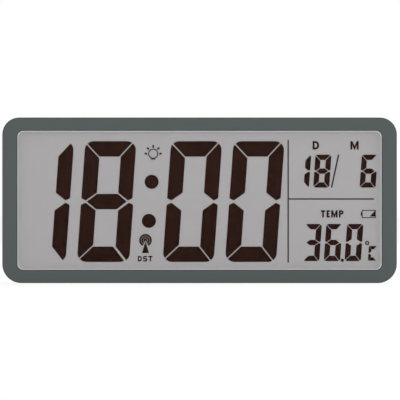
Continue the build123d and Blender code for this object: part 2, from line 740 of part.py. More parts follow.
def display_holder():
    low = LEDGE_BOTTOM - RIM_CLEARANCE
    high = GLASS_TOP + RIM_CLEARANCE
    tray = block(-RIM_OUTSIDE, RIM_OUTSIDE, FLANGE_BACK_Y, BOARD_Y, low - RIM_WALL, high + RIM_WALL)
    tray -= block(-RIM_INSIDE, RIM_INSIDE, FLANGE_BACK_Y, HOLDER_Y, low, high)
    strip = STRIP_THICKNESS / 2 + STRIP_CLEARANCE
    reach = STRIP_HALF + STRIP_CLEARANCE
    tray -= block(-reach, reach, HOLDER_Y, BOARD_Y, STRIP_Z - strip, STRIP_Z + strip)
    ear = BOSS_RADIUS - EAR_CLEARANCE
    for x, z in SCREW_PLACES:
        inner = math.copysign(RIM_INSIDE, x)
        tray += block(min(x, inner), max(x, inner), HOLDER_Y, BOARD_Y, z - ear, z + ear)
        tray += rod_y(x, z, ear, HOLDER_Y, BOARD_Y)
    for x, z in SCREW_PLACES:
        tray -= rod_y(x, z, SCREW_HOLE_RADIUS, HOLDER_Y, BOARD_Y)
    for x in STAKE_XS:
        tray += rod_y(x, PART_Z, STAKE_RADIUS, HOLDER_Y, BOARD_BACK_Y + STAKE_HEAD)
        tray += rod_y(x, PART_Z, STAKE_HEAD_RADIUS, BOARD_BACK_Y, BOARD_BACK_Y + STAKE_HEAD)
    half = SADDLE_WIDTH / 2
    cheek = ROD_RADIUS + SADDLE_CHEEK
    for x in (-SADDLE_PITCH / 2, SADDLE_PITCH / 2):
        saddle = block(x - half, x + half, HOLDER_Y, ROD_Y, ROD_Z - cheek, ROD_Z + cheek)
        tray += saddle - rod_x(ROD_Y, ROD_Z, ROD_RADIUS + ROD_FIT, x - half, x + half)
    return tray


def lcd_connector_strip():
    half = STRIP_THICKNESS / 2
    return block(-STRIP_HALF, STRIP_HALF, CELL_FRONT_Y, BOARD_Y, STRIP_Z - half, STRIP_Z + half)


def main_board():
    board = block(-BOARD_HALF, BOARD_HALF, BOARD_Y, BOARD_BACK_Y, LEDGE_BOTTOM, BOARD_TOP)
    for x in STAKE_XS:
        board -= rod_y(x, PART_Z, STAKE_RADIUS + STAKE_HOLE_CLEARANCE, BOARD_Y, BOARD_BACK_Y)
    return board


def chip_blob():
    ball_radius = (CHIP_RADIUS**2 + CHIP_DOME**2) / (2 * CHIP_DOME)
    ball = Pos(CHIP_X, BOARD_BACK_Y + CHIP_DOME - ball_radius, PART_Z) * Sphere(ball_radius)
    return ball & rod_y(CHIP_X, PART_Z, 2 * CHIP_RADIUS, BOARD_BACK_Y, BOARD_BACK_Y + 2 * CHIP_DOME)


def quartz_crystal():
    can = Pos(CRYSTAL_X, PART_Z) * SlotOverall(CRYSTAL_LENGTH, CRYSTAL_WIDTH)
    body = slab(can, BOARD_BACK_Y, BOARD_BACK_Y + CRYSTAL_HEIGHT)
    return fillet(rear_edges(body), PACKAGE_EDGE)


def radio_chip():
    outline = Pos(RADIO_CHIP_X, PART_Z) * Rectangle(RADIO_CHIP_LENGTH, RADIO_CHIP_WIDTH)
    body = slab(outline, BOARD_BACK_Y, BOARD_BACK_Y + RADIO_CHIP_HEIGHT)
    return chamfer(rear_edges(body), PACKAGE_EDGE)


def capacitor():
    can = rod_y(CAPACITOR_X, PART_Z, CAPACITOR_RADIUS, BOARD_BACK_Y, BOARD_BACK_Y + CAPACITOR_HEIGHT)
    return fillet(rear_edges(can), PACKAGE_EDGE)


def temperature_sensor():
    bead_y = REAR_WALL_Y - SENSOR_WALL_GAP - SENSOR_RADIUS
    bead = Pos(SENSOR_X, bead_y, PART_Z) * Sphere(SENSOR_RADIUS)
    for x in (SENSOR_X - SENSOR_LEAD_PITCH / 2, SENSOR_X + SENSOR_LEAD_PITCH / 2):
        bead += rod_y(x, PART_Z, SENSOR_LEAD_RADIUS, BOARD_BACK_Y, bead_y)
    return bead


def antenna_rod():
    return rod_x(ROD_Y, ROD_Z, ROD_RADIUS, -ROD_LENGTH / 2, ROD_LENGTH / 2)


def antenna_coil():
    half = COIL_LENGTH / 2
    winding = rod_x(ROD_Y, ROD_Z, COIL_RADIUS, -half, half)
    return winding - rod_x(ROD_Y, ROD_Z, ROD_RADIUS + ROD_FIT, -half, half)


def wire_along(points, radius, bend):
    """Round wire along straight runs joined by arcs."""
    path = FilletPolyline(*points, radius=bend)
    start = Plane(origin=path @ 0, z_dir=path % 0)
    return sweep(start * Circle(radius), path=path)


def antenna_leads():
    wires = []
    for x in (-COIL_LENGTH / 2 + COIL_WALL, COIL_LENGTH / 2 - COIL_WALL):
        points = [(x, ROD_Y, ROD_Z - COIL_RADIUS), (x, ROD_Y, LANDING_Z), (x, BOARD_BACK_Y, LANDING_Z)]
        wires.append(wire_along(points, ANTENNA_LEAD_RADIUS, ANTENNA_LEAD_BEND))
    return group(wires)


def key_board():
    low = BUTTON_RISE - KEY_BOARD_HEIGHT / 2
    left = KEY_POST_XS[0] - KEY_BOARD_END
    right = KEY_POST_XS[1] + KEY_BOARD_END
    board = block(left, right, KEY_BOARD_FRONT_Y, KEY_BOARD_BACK_Y, low, low + KEY_BOARD_HEIGHT)
    for x in KEY_POST_XS:
        board -= rod_y(x, BUTTON_RISE, SCREW_HOLE_RADIUS, KEY_BOARD_FRONT_Y, KEY_BOARD_BACK_Y)
    return board


def key_switches():
    half = SWITCH_SIZE / 2
    low = BUTTON_RISE - half
    high = BUTTON_RISE + half
    bore_end = SWITCH_BACK_Y - PLUNGER_ROOT - BUTTON_TRAVEL - PLUNGER_END_GAP
    switches = []
    for x in BUTTON_XS:
        body = block(x - half, x + half, KEY_BOARD_BACK_Y, SWITCH_BACK_Y, low, high)
        switches.append(body - rod_y(x, BUTTON_RISE, PLUNGER_RADIUS + PLUNGER_FIT, bore_end, SWITCH_BACK_Y))
    return group(switches)


def switch_plunger(x):
    return rod_y(x, BUTTON_RISE, PLUNGER_RADIUS, SWITCH_BACK_Y - PLUNGER_ROOT, CAP_FRONT_Y)


def button_cap(x):
    cap = rod_y(x, BUTTON_RISE, BUTTON_RADIUS, CAP_FRONT_Y, CAP_BACK_Y)
    cap = fillet(rear_edges(cap), BUTTON_CROWN)
    return cap + rod_y(x, BUTTON_RISE, BUTTON_RADIUS + BUTTON_FLANGE_LAP, CAP_FRONT_Y, CAP_SHOULDER_Y)


def screw(x, z, seat_y, length, head, head_side):
    """Pan head screw with a cross recess; head_side is +1 where the head looks to +Y."""
    tip_y = seat_y - head_side * length
    crown_y = seat_y + head_side * head
    shank = rod_y(x, z, PILOT_RADIUS - SCREW_FIT, min(tip_y, seat_y), max(tip_y, seat_y))
    body = shank + rod_y(x, z, SCREW_HEAD_RADIUS, min(seat_y, crown_y), max(seat_y, crown_y))
    floor_y = crown_y - head_side * CROSS_DEPTH
    low = min(crown_y, floor_y)
    high = max(crown_y, floor_y)
    long_half = CROSS_LENGTH / 2
    short_half = CROSS_WIDTH / 2
    body -= block(x - long_half, x + long_half, low, high, z - short_half, z + short_half)
    return body - block(x - short_half, x + short_half, low, high, z - long_half, z + long_half)


def housing_screws():
    length = SCREW_SEAT_Y - HOLDER_Y + SCREW_GRIP
    return group([screw(x, z, SCREW_SEAT_Y, length, SCREW_HEAD, 1) for x, z in SCREW_PLACES])


def key_board_screws():
    length = BOARD + KEY_SCREW_GRIP
    return group([screw(x, BUTTON_RISE, KEY_BOARD_FRONT_Y, length, KEY_SCREW_HEAD, -1) for x in KEY_POST_XS])


def key_ribbon():
    start_z = BUTTON_RISE - RIBBON_DROP
    middle_y = (KEY_BOARD_FRONT_Y + BOARD_BACK_Y) / 2
    points = [
        (RIBBON_X, KEY_BOARD_FRONT_Y, start_z),
        (RIBBON_X, middle_y, start_z),
        (RIBBON_X, middle_y, LANDING_Z),
        (RIBBON_X, BOARD_BACK_Y, LANDING_Z),
    ]
    path = FilletPolyline(*points, radius=RIBBON_BEND)
    start = Plane(origin=path @ 0, x_dir=(1, 0, 0), z_dir=path % 0)
    return sweep(start * Rectangle(RIBBON_WIDTH, RIBBON_THICKNESS), path=path)


def housing_shell():
    """Rear half of the case with its locating lip, before pockets and posts."""
    body = slab(case_profile(), PARTING_Y, REAR_Y)
    body = fillet(rear_edges(body), REAR_EDGE_RADIUS)
    body = chamfer(front_edges(body), SEAM_CHAMFER)
    body -= slab(case_profile(WALL), PARTING_Y, REAR_WALL_Y)
    inside = case_profile(WALL + LIP_CLEARANCE + LIP_WALL)
    body += slab(case_profile(WALL + LIP_CLEARANCE) - inside, PARTING_Y - LIP_DEPTH, PARTING_Y + LIP_DEPTH)
    return body + slab(case_profile(WALL - BITE) - inside, PARTING_Y + SEAM_CHAMFER, PARTING_Y + LIP_DEPTH)


def add_screw_posts(body):
    slim = BOSS_RADIUS - EAR_CLEARANCE - BOSS_BITE
    head_room = SCREW_HEAD_RADIUS + SCREW_HEAD_CLEARANCE
    trim = slab(case_profile(WALL - BITE), PARTING_Y, REAR_WALL_Y + BITE)
    for x, z in SCREW_PLACES:
        body += rod_y(x, z, slim, BOARD_Y, PARTING_Y + POST_STEP + BITE)
        body += rod_y(x, z, POST_RADIUS, PARTING_Y + POST_STEP, REAR_WALL_Y + BITE) & trim
    for x, z in SCREW_PLACES:
        body -= rod_y(x, z, SCREW_HOLE_RADIUS, BOARD_Y, SCREW_SEAT_Y)
        body -= rod_y(x, z, head_room, SCREW_SEAT_Y, REAR_Y)
    return body


def add_battery_box(body):
    wall = BOX_WALL
    deck = REAR_WALL_Y + BITE
    body += block(BOX_LEFT - wall, BOX_RIGHT + wall, BOX_FLOOR_Y, deck, BOX_BOTTOM - wall, BOX_TOP + wall)
    lug_half = BARREL_RADIUS + LUG_WALL
    lug_y = DOOR_AXIS_Y - DOOR_PIN_RADIUS - PIN_FIT - LUG_WALL
    lug_reach = DOOR_PIN_LENGTH + PIN_END_GAP + LUG_WALL
    low = DOOR_BOTTOM - lug_reach
    high = DOOR_TOP + lug_reach
    body += block(DOOR_AXIS_X - lug_half, DOOR_AXIS_X + lug_half, lug_y, deck, low, BOX_BOTTOM)
    body += block(DOOR_AXIS_X - lug_half, DOOR_AXIS_X + lug_half, lug_y, deck, BOX_TOP, high)
    half = LATCH_WIDTH / 2 + LATCH_CLEARANCE
    latch_floor = LATCH_LOW_Y - LATCH_CLEARANCE
    room_right = LATCH_RIGHT + LATCH_ROOM
    body += block(
        BOX_RIGHT,
        room_right + LATCH_WALL,
        latch_floor - LATCH_WALL,
        deck,
        BOX_MIDDLE_Z - half - LATCH_WALL,
        BOX_MIDDLE_Z + half + LATCH_WALL,
    )
    body -= block(BOX_LEFT, BOX_RIGHT, BOX_FLOOR_Y + BOX_FLOOR, REAR_Y, BOX_BOTTOM, BOX_TOP)
    gap = DOOR_GAP
    body -= block(DOOR_LEFT - gap, DOOR_RIGHT + gap, REAR_WALL_Y, REAR_Y, DOOR_BOTTOM - gap, DOOR_TOP + gap)
    barrel_y = REAR_Y - 2 * BARREL_RADIUS - BARREL_GAP
    barrel_right = DOOR_LEFT + 2 * BARREL_RADIUS + BARREL_GAP
    body -= block(DOOR_LEFT - gap, barrel_right, barrel_y, REAR_Y, DOOR_BOTTOM - gap, DOOR_TOP + gap)
    pin_reach = DOOR_PIN_LENGTH + PIN_END_GAP
    bore = DOOR_PIN_RADIUS + PIN_FIT
    body -= rod_z(DOOR_AXIS_X, DOOR_AXIS_Y, bore, DOOR_BOTTOM - pin_reach, DOOR_TOP + pin_reach)
    room_low = BOX_MIDDLE_Z - half
    room_high = BOX_MIDDLE_Z + half
    body -= block(BOX_RIGHT + BOX_WALL, room_right, latch_floor, REAR_WALL_Y, room_low, room_high)
    body -= block(BOX_RIGHT, LATCH_RIGHT + LATCH_CLEARANCE, REAR_WALL_Y, REAR_Y, room_low, room_high)
    tail_half = TAIL_WIDTH / 2 + TAIL_CLEARANCE
    tail_thick = PLATE / 2 + TAIL_CLEARANCE
    for z in (LOWER_CELL_Z, UPPER_CELL_Z):
        low_y = CELL_AXIS_Y - tail_half
        high_y = CELL_AXIS_Y + tail_half
        body -= block(BOX_LEFT - BOX_WALL, BOX_LEFT, low_y, high_y, z - tail_thick, z + tail_thick)
    return body


def add_stand_pocket(body):
    outer = STAND_POCKET_HALF + POCKET_WALL
    floor = STAND_FLOOR_Y - POCKET_FLOOR
    low = STAND_POCKET_LOW - POCKET_FLOOR
    high = STAND_POCKET_HIGH + POCKET_FLOOR
    half = STAND_POCKET_HALF
    body += block(-outer, outer, floor, REAR_WALL_Y + BITE, low, high)
    body -= block(-half, half, STAND_FLOOR_Y, REAR_Y, STAND_POCKET_LOW, STAND_POCKET_HIGH)
    reach = STAND_WIDTH / 2 + STAND_PIN_LENGTH + PIN_END_GAP
    return body - rod_x(STAND_AXIS_Y, STAND_AXIS_Z, STAND_PIN_RADIUS + PIN_FIT, -reach, reach)


def add_keyholes(body):
    half = KEYHOLE_ENTRY_RADIUS + KEYHOLE_ROOM
    low = KEYHOLE_Z - half
    high = KEYHOLE_Z + KEYHOLE_RISE + KEYHOLE_SLOT_RADIUS + KEYHOLE_ROOM
    floor = REAR_WALL_Y - KEYHOLE_DEPTH
    wall = KEYHOLE_WALL
    slot_half = KEYHOLE_SLOT_RADIUS
    slot_z = KEYHOLE_Z + KEYHOLE_RISE
    for x in KEYHOLE_XS:
        deck = REAR_WALL_Y + BITE
        body += block(x - half - wall, x + half + wall, floor - wall, deck, low - wall, high + wall)
    for x in KEYHOLE_XS:
        body -= block(x - half, x + half, floor, REAR_WALL_Y, low, high)
        body -= rod_y(x, KEYHOLE_Z, KEYHOLE_ENTRY_RADIUS, REAR_WALL_Y, REAR_Y)
        body -= rod_y(x, slot_z, KEYHOLE_SLOT_RADIUS, REAR_WALL_Y, REAR_Y)
        body -= block(x - slot_half, x + slot_half, REAR_WALL_Y, REAR_Y, KEYHOLE_Z, slot_z)
    return body


def key_pocket_profile(growth=0.0):
    """Outline of the shallow pocket around the row of buttons."""
    margin = BUTTON_RADIUS + KEY_POCKET_MARGIN + growth
    width = BUTTON_XS[-1] - BUTTON_XS[0] + 2 * margin
    middle_x = (BUTTON_XS[0] + BUTTON_XS[-1]) / 2
    return Pos(middle_x, BUTTON_RISE) * RectangleRounded(width, 2 * margin, KEY_POCKET_CORNER + growth)


def add_key_pocket(body):
    body += slab(key_pocket_profile(KEY_WALL), KEY_WALL_Y, REAR_WALL_Y + BITE)
    body -= slab(key_pocket_profile(), REAR_Y - KEY_POCKET_DEPTH, REAR_Y)
    for x in BUTTON_XS:
        body -= rod_y(x, BUTTON_RISE, BUTTON_RADIUS + BUTTON_CLEARANCE, KEY_WALL_Y, REAR_Y)
    for x in KEY_POST_XS:
        body += rod_y(x, BUTTON_RISE, KEY_POST_RADIUS, KEY_BOARD_BACK_Y, KEY_WALL_Y + BITE)
    for x in KEY_POST_XS:
        pilot_end = KEY_BOARD_BACK_Y + KEY_SCREW_GRIP + PILOT_SPARE
        body -= rod_y(x, BUTTON_RISE, PILOT_RADIUS, KEY_BOARD_BACK_Y, pilot_end)
    return body


def cut_vents(body):
    for i in range(VENT_COUNT):
        x = SENSOR_X + VENT_PITCH * (i - (VENT_COUNT - 1) / 2)
        slot = Pos(x, PART_Z) * Rot(0, 0, 90) * SlotOverall(VENT_HEIGHT, VENT_WIDTH)
        body -= slab(slot, REAR_WALL_Y, REAR_Y)
    return body


def rear_housing():
    body = housing_shell()
    for add_feature in (add_screw_posts, add_battery_box, add_stand_pocket, add_keyholes, add_key_pocket):
        body = add_feature(body)
    return cut_vents(body)


def battery_door():
    door = block(DOOR_AXIS_X, DOOR_RIGHT, REAR_WALL_Y, REAR_Y, DOOR_BOTTOM, DOOR_TOP)
    half = LATCH_WIDTH / 2
    tab_right = LATCH_LEFT + LATCH_STRIP
    tab_low = BOX_MIDDLE_Z - half
    tab_high = BOX_MIDDLE_Z + half
    door += block(DOOR_RIGHT - BITE, tab_right, REAR_WALL_Y, REAR_Y, tab_low, tab_high)
    door += rod_z(DOOR_AXIS_X, DOOR_AXIS_Y, BARREL_RADIUS, DOOR_BOTTOM, DOOR_TOP)
    reach = DOOR_PIN_LENGTH
    door += rod_z(DOOR_AXIS_X, DOOR_AXIS_Y, DOOR_PIN_RADIUS, DOOR_BOTTOM - reach, DOOR_TOP + reach)
    grip_half = GRIP_LENGTH / 2
    for i in range(GRIP_COUNT):
        right = DOOR_RIGHT - GRIP_MARGIN - GRIP_PITCH * i
        left = right - GRIP_WIDTH
        low = BOX_MIDDLE_Z - grip_half
        door -= block(left, right, REAR_Y - GRIP_DEPTH, REAR_Y, low, low + GRIP_LENGTH)
    return door


def battery_door_latch():
    inner = LATCH_SLOT / 2
    outer = inner + LATCH_STRIP
    bend = Circle(outer) - Circle(inner)
    bend &= Pos(0, -outer) * Rectangle(2 * outer, 2 * outer)
    profile = Pos(LATCH_MIDDLE_X, LATCH_BEND_Y) * bend
    fixed_leg = REAR_WALL_Y - LATCH_BEND_Y
    free_leg = REAR_Y - LATCH_TOP_SETBACK - LATCH_BEND_Y
    offset = inner + LATCH_STRIP / 2
    profile += Pos(LATCH_MIDDLE_X - offset, LATCH_BEND_Y + fixed_leg / 2) * Rectangle(LATCH_STRIP, fixed_leg)
    profile += Pos(LATCH_MIDDLE_X + offset, LATCH_BEND_Y + free_leg / 2) * Rectangle(LATCH_STRIP, free_leg)
    catch_high = REAR_WALL_Y - CONTACT_GAP
    catch_low = catch_high - LATCH_CATCH_HEIGHT
    catch = [
        (LATCH_RIGHT - BITE, catch_low - LATCH_CATCH),
        (LATCH_RIGHT, catch_low - LATCH_CATCH),
        (LATCH_RIGHT + LATCH_CATCH, catch_low),
        (LATCH_RIGHT + LATCH_CATCH, catch_high),
        (LATCH_RIGHT - BITE, catch_high),
    ]
    profile += Polygon(*catch)
    return extrude(Pos(0, 0, BOX_MIDDLE_Z - LATCH_WIDTH / 2) * profile, amount=LATCH_WIDTH, dir=(0, 0, 1))


def battery_cell(negative_x, nub_side, z):
    """One cell along X from its flat end; nub_side is +1 where its nub looks to +X."""
    shoulder_x = negative_x + nub_side * (CELL_LENGTH - CELL_NUB)
    nub_x = negative_x + nub_side * CELL_LENGTH
    low = min(negative_x, shoulder_x)
    high = max(negative_x, shoulder_x)
    can = rod_x(CELL_AXIS_Y, z, CELL_DIAMETER / 2, low, high)
    rims = can.edges().filter_by(GeomType.CIRCLE)
    can = fillet(rims, CELL_EDGE)
    return can + rod_x(CELL_AXIS_Y, z, CELL_NUB_RADIUS, min(shoulder_x, nub_x), max(shoulder_x, nub_x))


LOWER_NEGATIVE_X = BOX_RIGHT - PLATE - SPRING_LENGTH
UPPER_NEGATIVE_X = BOX_LEFT + PLATE + SPRING_LENGTH


def battery_cells():
    lower = battery_cell(LOWER_NEGATIVE_X, -1, LOWER_CELL_Z)
    return group([lower, battery_cell(UPPER_NEGATIVE_X, 1, UPPER_CELL_Z)])


def contact_plate(x_low, z_low, z_high):
    half = PLATE_SIZE / 2
    return block(x_low, x_low + PLATE, CELL_AXIS_Y - half, CELL_AXIS_Y + half, z_low - half, z_high + half)


def end_plate(z):
    """Contact plate at the stand end of the box, with the tail that its lead is soldered to."""
    tail_half = TAIL_WIDTH / 2
    thick = PLATE / 2
    low_y = CELL_AXIS_Y - tail_half
    high_y = CELL_AXIS_Y + tail_half
    return contact_plate(BOX_LEFT, z, z) + block(TAIL_X, BOX_LEFT, low_y, high_y, z - thick, z + thick)


def positive_plate():
    left = BOX_LEFT + PLATE
    return end_plate(LOWER_CELL_Z) + rod_x(CELL_AXIS_Y, LOWER_CELL_Z, DIMPLE_RADIUS, left, left + DIMPLE)


def negative_plate():
    return end_plate(UPPER_CELL_Z)


def bridge_plate():
    left = BOX_RIGHT - PLATE
    plate = contact_plate(left, LOWER_CELL_Z, UPPER_CELL_Z)
    return plate + rod_x(CELL_AXIS_Y, UPPER_CELL_Z, DIMPLE_RADIUS, left - DIMPLE, left)


def spring_point(turn, side, base_x, z):
    """Point of the spring's centre line after a number of turns from its plate."""
    share = turn / SPRING_TURNS
    radius = SPRING_BASE_RADIUS + (SPRING_TIP_RADIUS - SPRING_BASE_RADIUS) * share
    inset = SPRING_WIRE_RADIUS + CONTACT_GAP
    rise = inset + (SPRING_LENGTH - 2 * inset) * share
    angle = 2 * math.pi * turn
    return Vector(base_x + side * rise, CELL_AXIS_Y + radius * math.cos(angle), z + radius * math.sin(angle))


def spring_direction(turn, side, base_x, z):
    """Direction of the spring's centre line after a number of turns."""
    step = 1e-4
    ahead = spring_point(turn + step, side, base_x, z)
    return (ahead - spring_point(turn - step, side, base_x, z)).normalized()


def biarc(start, start_direction, end, end_direction):
    """Two arcs that meet smoothly and leave and arrive in the given directions."""
    chord = end - start
    total = start_direction + end_direction
    bend = 2 * (1 - start_direction.dot(end_direction))
    along = chord.dot(total)
    reach = (math.sqrt(along**2 + bend * chord.dot(chord)) - along) / bend
    first_knee = start + start_direction * reach
    second_knee = end - end_direction * reach
    middle = (first_knee + second_knee) * 0.5
    first = TangentArc(start, middle, tangent=start_direction)
    return [first, TangentArc(middle, end, tangent=(second_knee - first_knee).normalized())]


def battery_spring(side, base_x, z):
    count = round(SPRING_TURNS * STEPS_PER_TURN)
    turns = [SPRING_TURNS * i / count for i in range(count + 1)]
    points = [spring_point(turn, side, base_x, z) for turn in turns]
    ways = [spring_direction(turn, side, base_x, z) for turn in turns]
    edges = []
    for i in range(count):
        edges += biarc(points[i], ways[i], points[i + 1], ways[i + 1])
    path = Wire(edges)
    return sweep(Plane(origin=points[0], z_dir=ways[0]) * Circle(SPRING_WIRE_RADIUS), path=path)


def spring_self_gap():
    """Least clear distance between neighbouring turns of a spring."""
    count = round(SPRING_TURNS * GAP_SAMPLES_PER_TURN)
    points = [spring_point(SPRING_TURNS * i / count, 1, 0, 0) for i in range(count + 1)]
    apart = GAP_SAMPLES_PER_TURN // 2
    pairs = [(a, b) for a in range(count + 1) for b in range(a + apart, count + 1)]
    return min((points[b] - points[a]).length for a, b in pairs) - 2 * SPRING_WIRE_RADIUS


def battery_springs():
    lower = battery_spring(-1, BOX_RIGHT - PLATE, LOWER_CELL_Z)
    return group([lower, battery_spring(1, BOX_LEFT + PLATE, UPPER_CELL_Z)])


def battery_lead(z, run):
    x = TAIL_X - run
    points = [
        (TAIL_X, CELL_AXIS_Y, z),
        (x, CELL_AXIS_Y, z),
        (x, CELL_AXIS_Y, LANDING_Z),
        (x, BOARD_BACK_Y, LANDING_Z),
    ]
    return wire_along(points, LEAD_RADIUS, LEAD_BEND)


def folding_stand():
    plate_back = REAR_Y - STAND_SETBACK
    middle_z = STAND_FOOT_RISE + STAND_LENGTH / 2
    outline = Pos(0, middle_z) * Rectangle(STAND_WIDTH, STAND_LENGTH)
    outline = fillet(outline.vertices().group_by(Axis.Y)[0], STAND_CORNER)
    notch = Pos(0, STAND_FOOT_RISE) * SlotOverall(NOTCH_WIDTH, 2 * NOTCH_HEIGHT)
    stand = slab(outline - notch, plate_back - STAND_THICKNESS, plate_back)
    half = STAND_WIDTH / 2
    stand += rod_x(STAND_AXIS_Y, STAND_AXIS_Z, STAND_BARREL_RADIUS, -half, half)
    reach = half + STAND_PIN_LENGTH
    stand += rod_x(STAND_AXIS_Y, STAND_AXIS_Z, STAND_PIN_RADIUS, -reach, reach)
    heel = HEEL_THICKNESS / 2
    heel_top = STAND_AXIS_Z + HEEL_HEIGHT
    stand += block(-half, half, STAND_AXIS_Y - heel, STAND_AXIS_Y + heel, STAND_AXIS_Z, heel_top)
    panel_low = STAND_FOOT_RISE + NOTCH_HEIGHT + PANEL_MARGIN
    panel_high = STAND_AXIS_Z - STAND_BARREL_RADIUS - PANEL_MARGIN
    panel_width = STAND_WIDTH - 2 * PANEL_MARGIN
    panel = RectangleRounded(panel_width, panel_high - panel_low, PANEL_CORNER)
    return stand - slab(Pos(0, (panel_low + panel_high) / 2) * panel, plate_back - PANEL_DEPTH, plate_back)


def all_pieces():
    pieces = {
        "front_bezel": front_bezel(),
        "display_window": display_window(),
        "window_tape": window_tape(),
        "lcd_front_polariser": display_layer(FRONT_FILM_Y, POLARISER),
        "lcd_front_glass": display_layer(FRONT_GLASS_Y, GLASS, LEDGE_BOTTOM),
        "lcd_cell_seal": lcd_cell_seal(),
        "time_digits": time_digits(),
        "colon_dots": colon_dots(),
        "date_digits": date_digits(),
        "temperature_digits": temperature_digits(),
        "display_rules": display_rules(),
        "lcd_rear_glass": display_layer(CELL_BACK_Y, GLASS),
        "lcd_rear_polariser": display_layer(REAR_FILM_Y, POLARISER),
        "light_guide": light_guide(),
        "led_board": led_board(),
        "backlight_leds": backlight_leds(),
        "reflector_sheet": display_layer(REFLECTOR_Y, REFLECTOR),
        "display_holder": display_holder(),
        "lcd_connector_strip": lcd_connector_strip(),
        "main_board": main_board(),
        "chip_blob": chip_blob(),
        "quartz_crystal": quartz_crystal(),
        "radio_chip": radio_chip(),
        "capacitor": capacitor(),
        "temperature_sensor": temperature_sensor(),
        "antenna_rod": antenna_rod(),
        "antenna_coil": antenna_coil(),
        "antenna_leads": antenna_leads(),
        "key_board": key_board(),
        "key_switches": key_switches(),
        "key_board_screws": key_board_screws(),
        "key_ribbon": key_ribbon(),
        "rear_housing": rear_housing(),
        "housing_screws": housing_screws(),
        "battery_cells": battery_cells(),
        "battery_springs": battery_springs(),
        "positive_plate": positive_plate(),
        "negative_plate": negative_plate(),
        "bridge_plate": bridge_plate(),
        "battery_lead_red": battery_lead(LOWER_CELL_Z, RED_LEAD_RUN),
        "battery_lead_black": battery_lead(UPPER_CELL_Z, BLACK_LEAD_RUN),
        "battery_door": battery_door(),
        "battery_door_latch": battery_door_latch(),
        "folding_stand": folding_stand(),
    }
    for name, x in zip(BUTTON_NAMES, BUTTON_XS):
        pieces["button_" + name] = button_cap(x)
        pieces["switch_plunger_" + name] = switch_plunger(x)
    return pieces


os.makedirs("parts", exist_ok=True)
for node, piece in all_pieces().items():
    export_step(piece, os.path.join("parts", node + ".step"))
print("least gap between spring turns, mm:", round(spring_self_gap(), 3))
print("case, mm:", round(CASE_WIDTH, 2), round(CASE_DEPTH, 2), round(CASE_HEIGHT, 2))
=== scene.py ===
import json
import math
from typing import NamedTuple

import bmesh
import bpy
from bpy.props import FloatProperty, FloatVectorProperty, IntProperty, PointerProperty
from bpy.types import Operator, Panel, PropertyGroup
from mathutils import Matrix, Vector


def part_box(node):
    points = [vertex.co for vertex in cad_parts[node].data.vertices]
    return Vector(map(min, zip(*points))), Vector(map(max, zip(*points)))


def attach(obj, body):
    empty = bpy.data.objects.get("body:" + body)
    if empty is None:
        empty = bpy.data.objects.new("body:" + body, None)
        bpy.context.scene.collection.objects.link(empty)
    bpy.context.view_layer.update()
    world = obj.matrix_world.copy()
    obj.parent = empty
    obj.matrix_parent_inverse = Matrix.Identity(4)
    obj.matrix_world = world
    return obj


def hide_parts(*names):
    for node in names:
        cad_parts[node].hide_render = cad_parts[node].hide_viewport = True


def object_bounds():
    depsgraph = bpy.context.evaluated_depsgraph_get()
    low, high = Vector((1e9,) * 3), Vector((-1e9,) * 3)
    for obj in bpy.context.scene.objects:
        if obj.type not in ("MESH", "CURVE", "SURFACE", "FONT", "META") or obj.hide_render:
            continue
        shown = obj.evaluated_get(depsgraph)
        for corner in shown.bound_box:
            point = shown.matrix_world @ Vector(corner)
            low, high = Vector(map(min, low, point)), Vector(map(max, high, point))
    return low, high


bl_info = {
    "name": "Large digit clock",
    "version": (1, 0, 0),
    "blender": (4, 5, 0),
    "location": "3D View > Sidebar > Clock",
    "description": "Finishes, display signs and small pieces for a wide digital clock",
    "category": "Object",
}

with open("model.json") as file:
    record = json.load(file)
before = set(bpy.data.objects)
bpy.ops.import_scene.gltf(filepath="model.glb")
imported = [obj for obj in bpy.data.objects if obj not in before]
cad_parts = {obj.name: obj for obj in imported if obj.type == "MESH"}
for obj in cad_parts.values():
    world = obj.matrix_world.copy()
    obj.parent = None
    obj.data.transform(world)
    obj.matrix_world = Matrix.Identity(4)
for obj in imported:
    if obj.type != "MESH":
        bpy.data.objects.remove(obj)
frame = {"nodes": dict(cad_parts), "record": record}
CAD_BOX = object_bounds()
MM = 0.001

# The photograph is square; the case spans these pixels of it
PHOTO_PIXELS = 400
PHOTO_CASE_LEFT = 2.2
PHOTO_CASE_RIGHT = 396.9
PHOTO_CASE_BASE = 283.1

# A drawing in the plane (across, up, towards the reader) stood up to be read from the front or the back
READ_FROM_FRONT = Matrix(((1, 0, 0, 0), (0, 0, -1, 0), (0, 1, 0, 0), (0, 0, 0, 1)))
READ_FROM_BACK = Matrix(((-1, 0, 0, 0), (0, 0, 1, 0), (0, 1, 0, 0), (0, 0, 0, 1)))
LENGTHWISE = Matrix.Rotation(math.radians(90), 4, "Y")

# Widths of the display's block letters and the space between them, as shares of one width
LETTER_WIDTHS = {"D": 0.64, "E": 0.5, "M": 0.95, "P": 0.7, "S": 0.64, "T": 0.66}
LETTER_SPACE = 0.19

# Height of a capital in the default font, as a share of the font's size
CAPITAL_SHARE = 0.69

# Widths of the display's words
WORD_WIDTHS = {"D": 3.6 * MM, "M": 4.6 * MM, "TEMP": 12.7 * MM, "DST": 8.2 * MM}

# Steps to the middles of words and signs: across from the divider, up from the top of the digits under them
DAY_STEP = 15.8 * MM
MONTH_STEP = 37.4 * MM
TEMPERATURE_STEP = 24.95 * MM
BATTERY_STEP = 45.35 * MM
DATE_LETTER_RISE = 5.24 * MM
TEMPERATURE_WORD_RISE = 5.59 * MM
BATTERY_RISE = 5.56 * MM

# Steps across and up from the middle of the colon
NOTE_STEP = (-2.84 * MM, -32.02 * MM)
LAMP_STEP = (1.62 * MM, 26.6 * MM)
RADIO_STEP = (-2.67 * MM, -21.75 * MM)

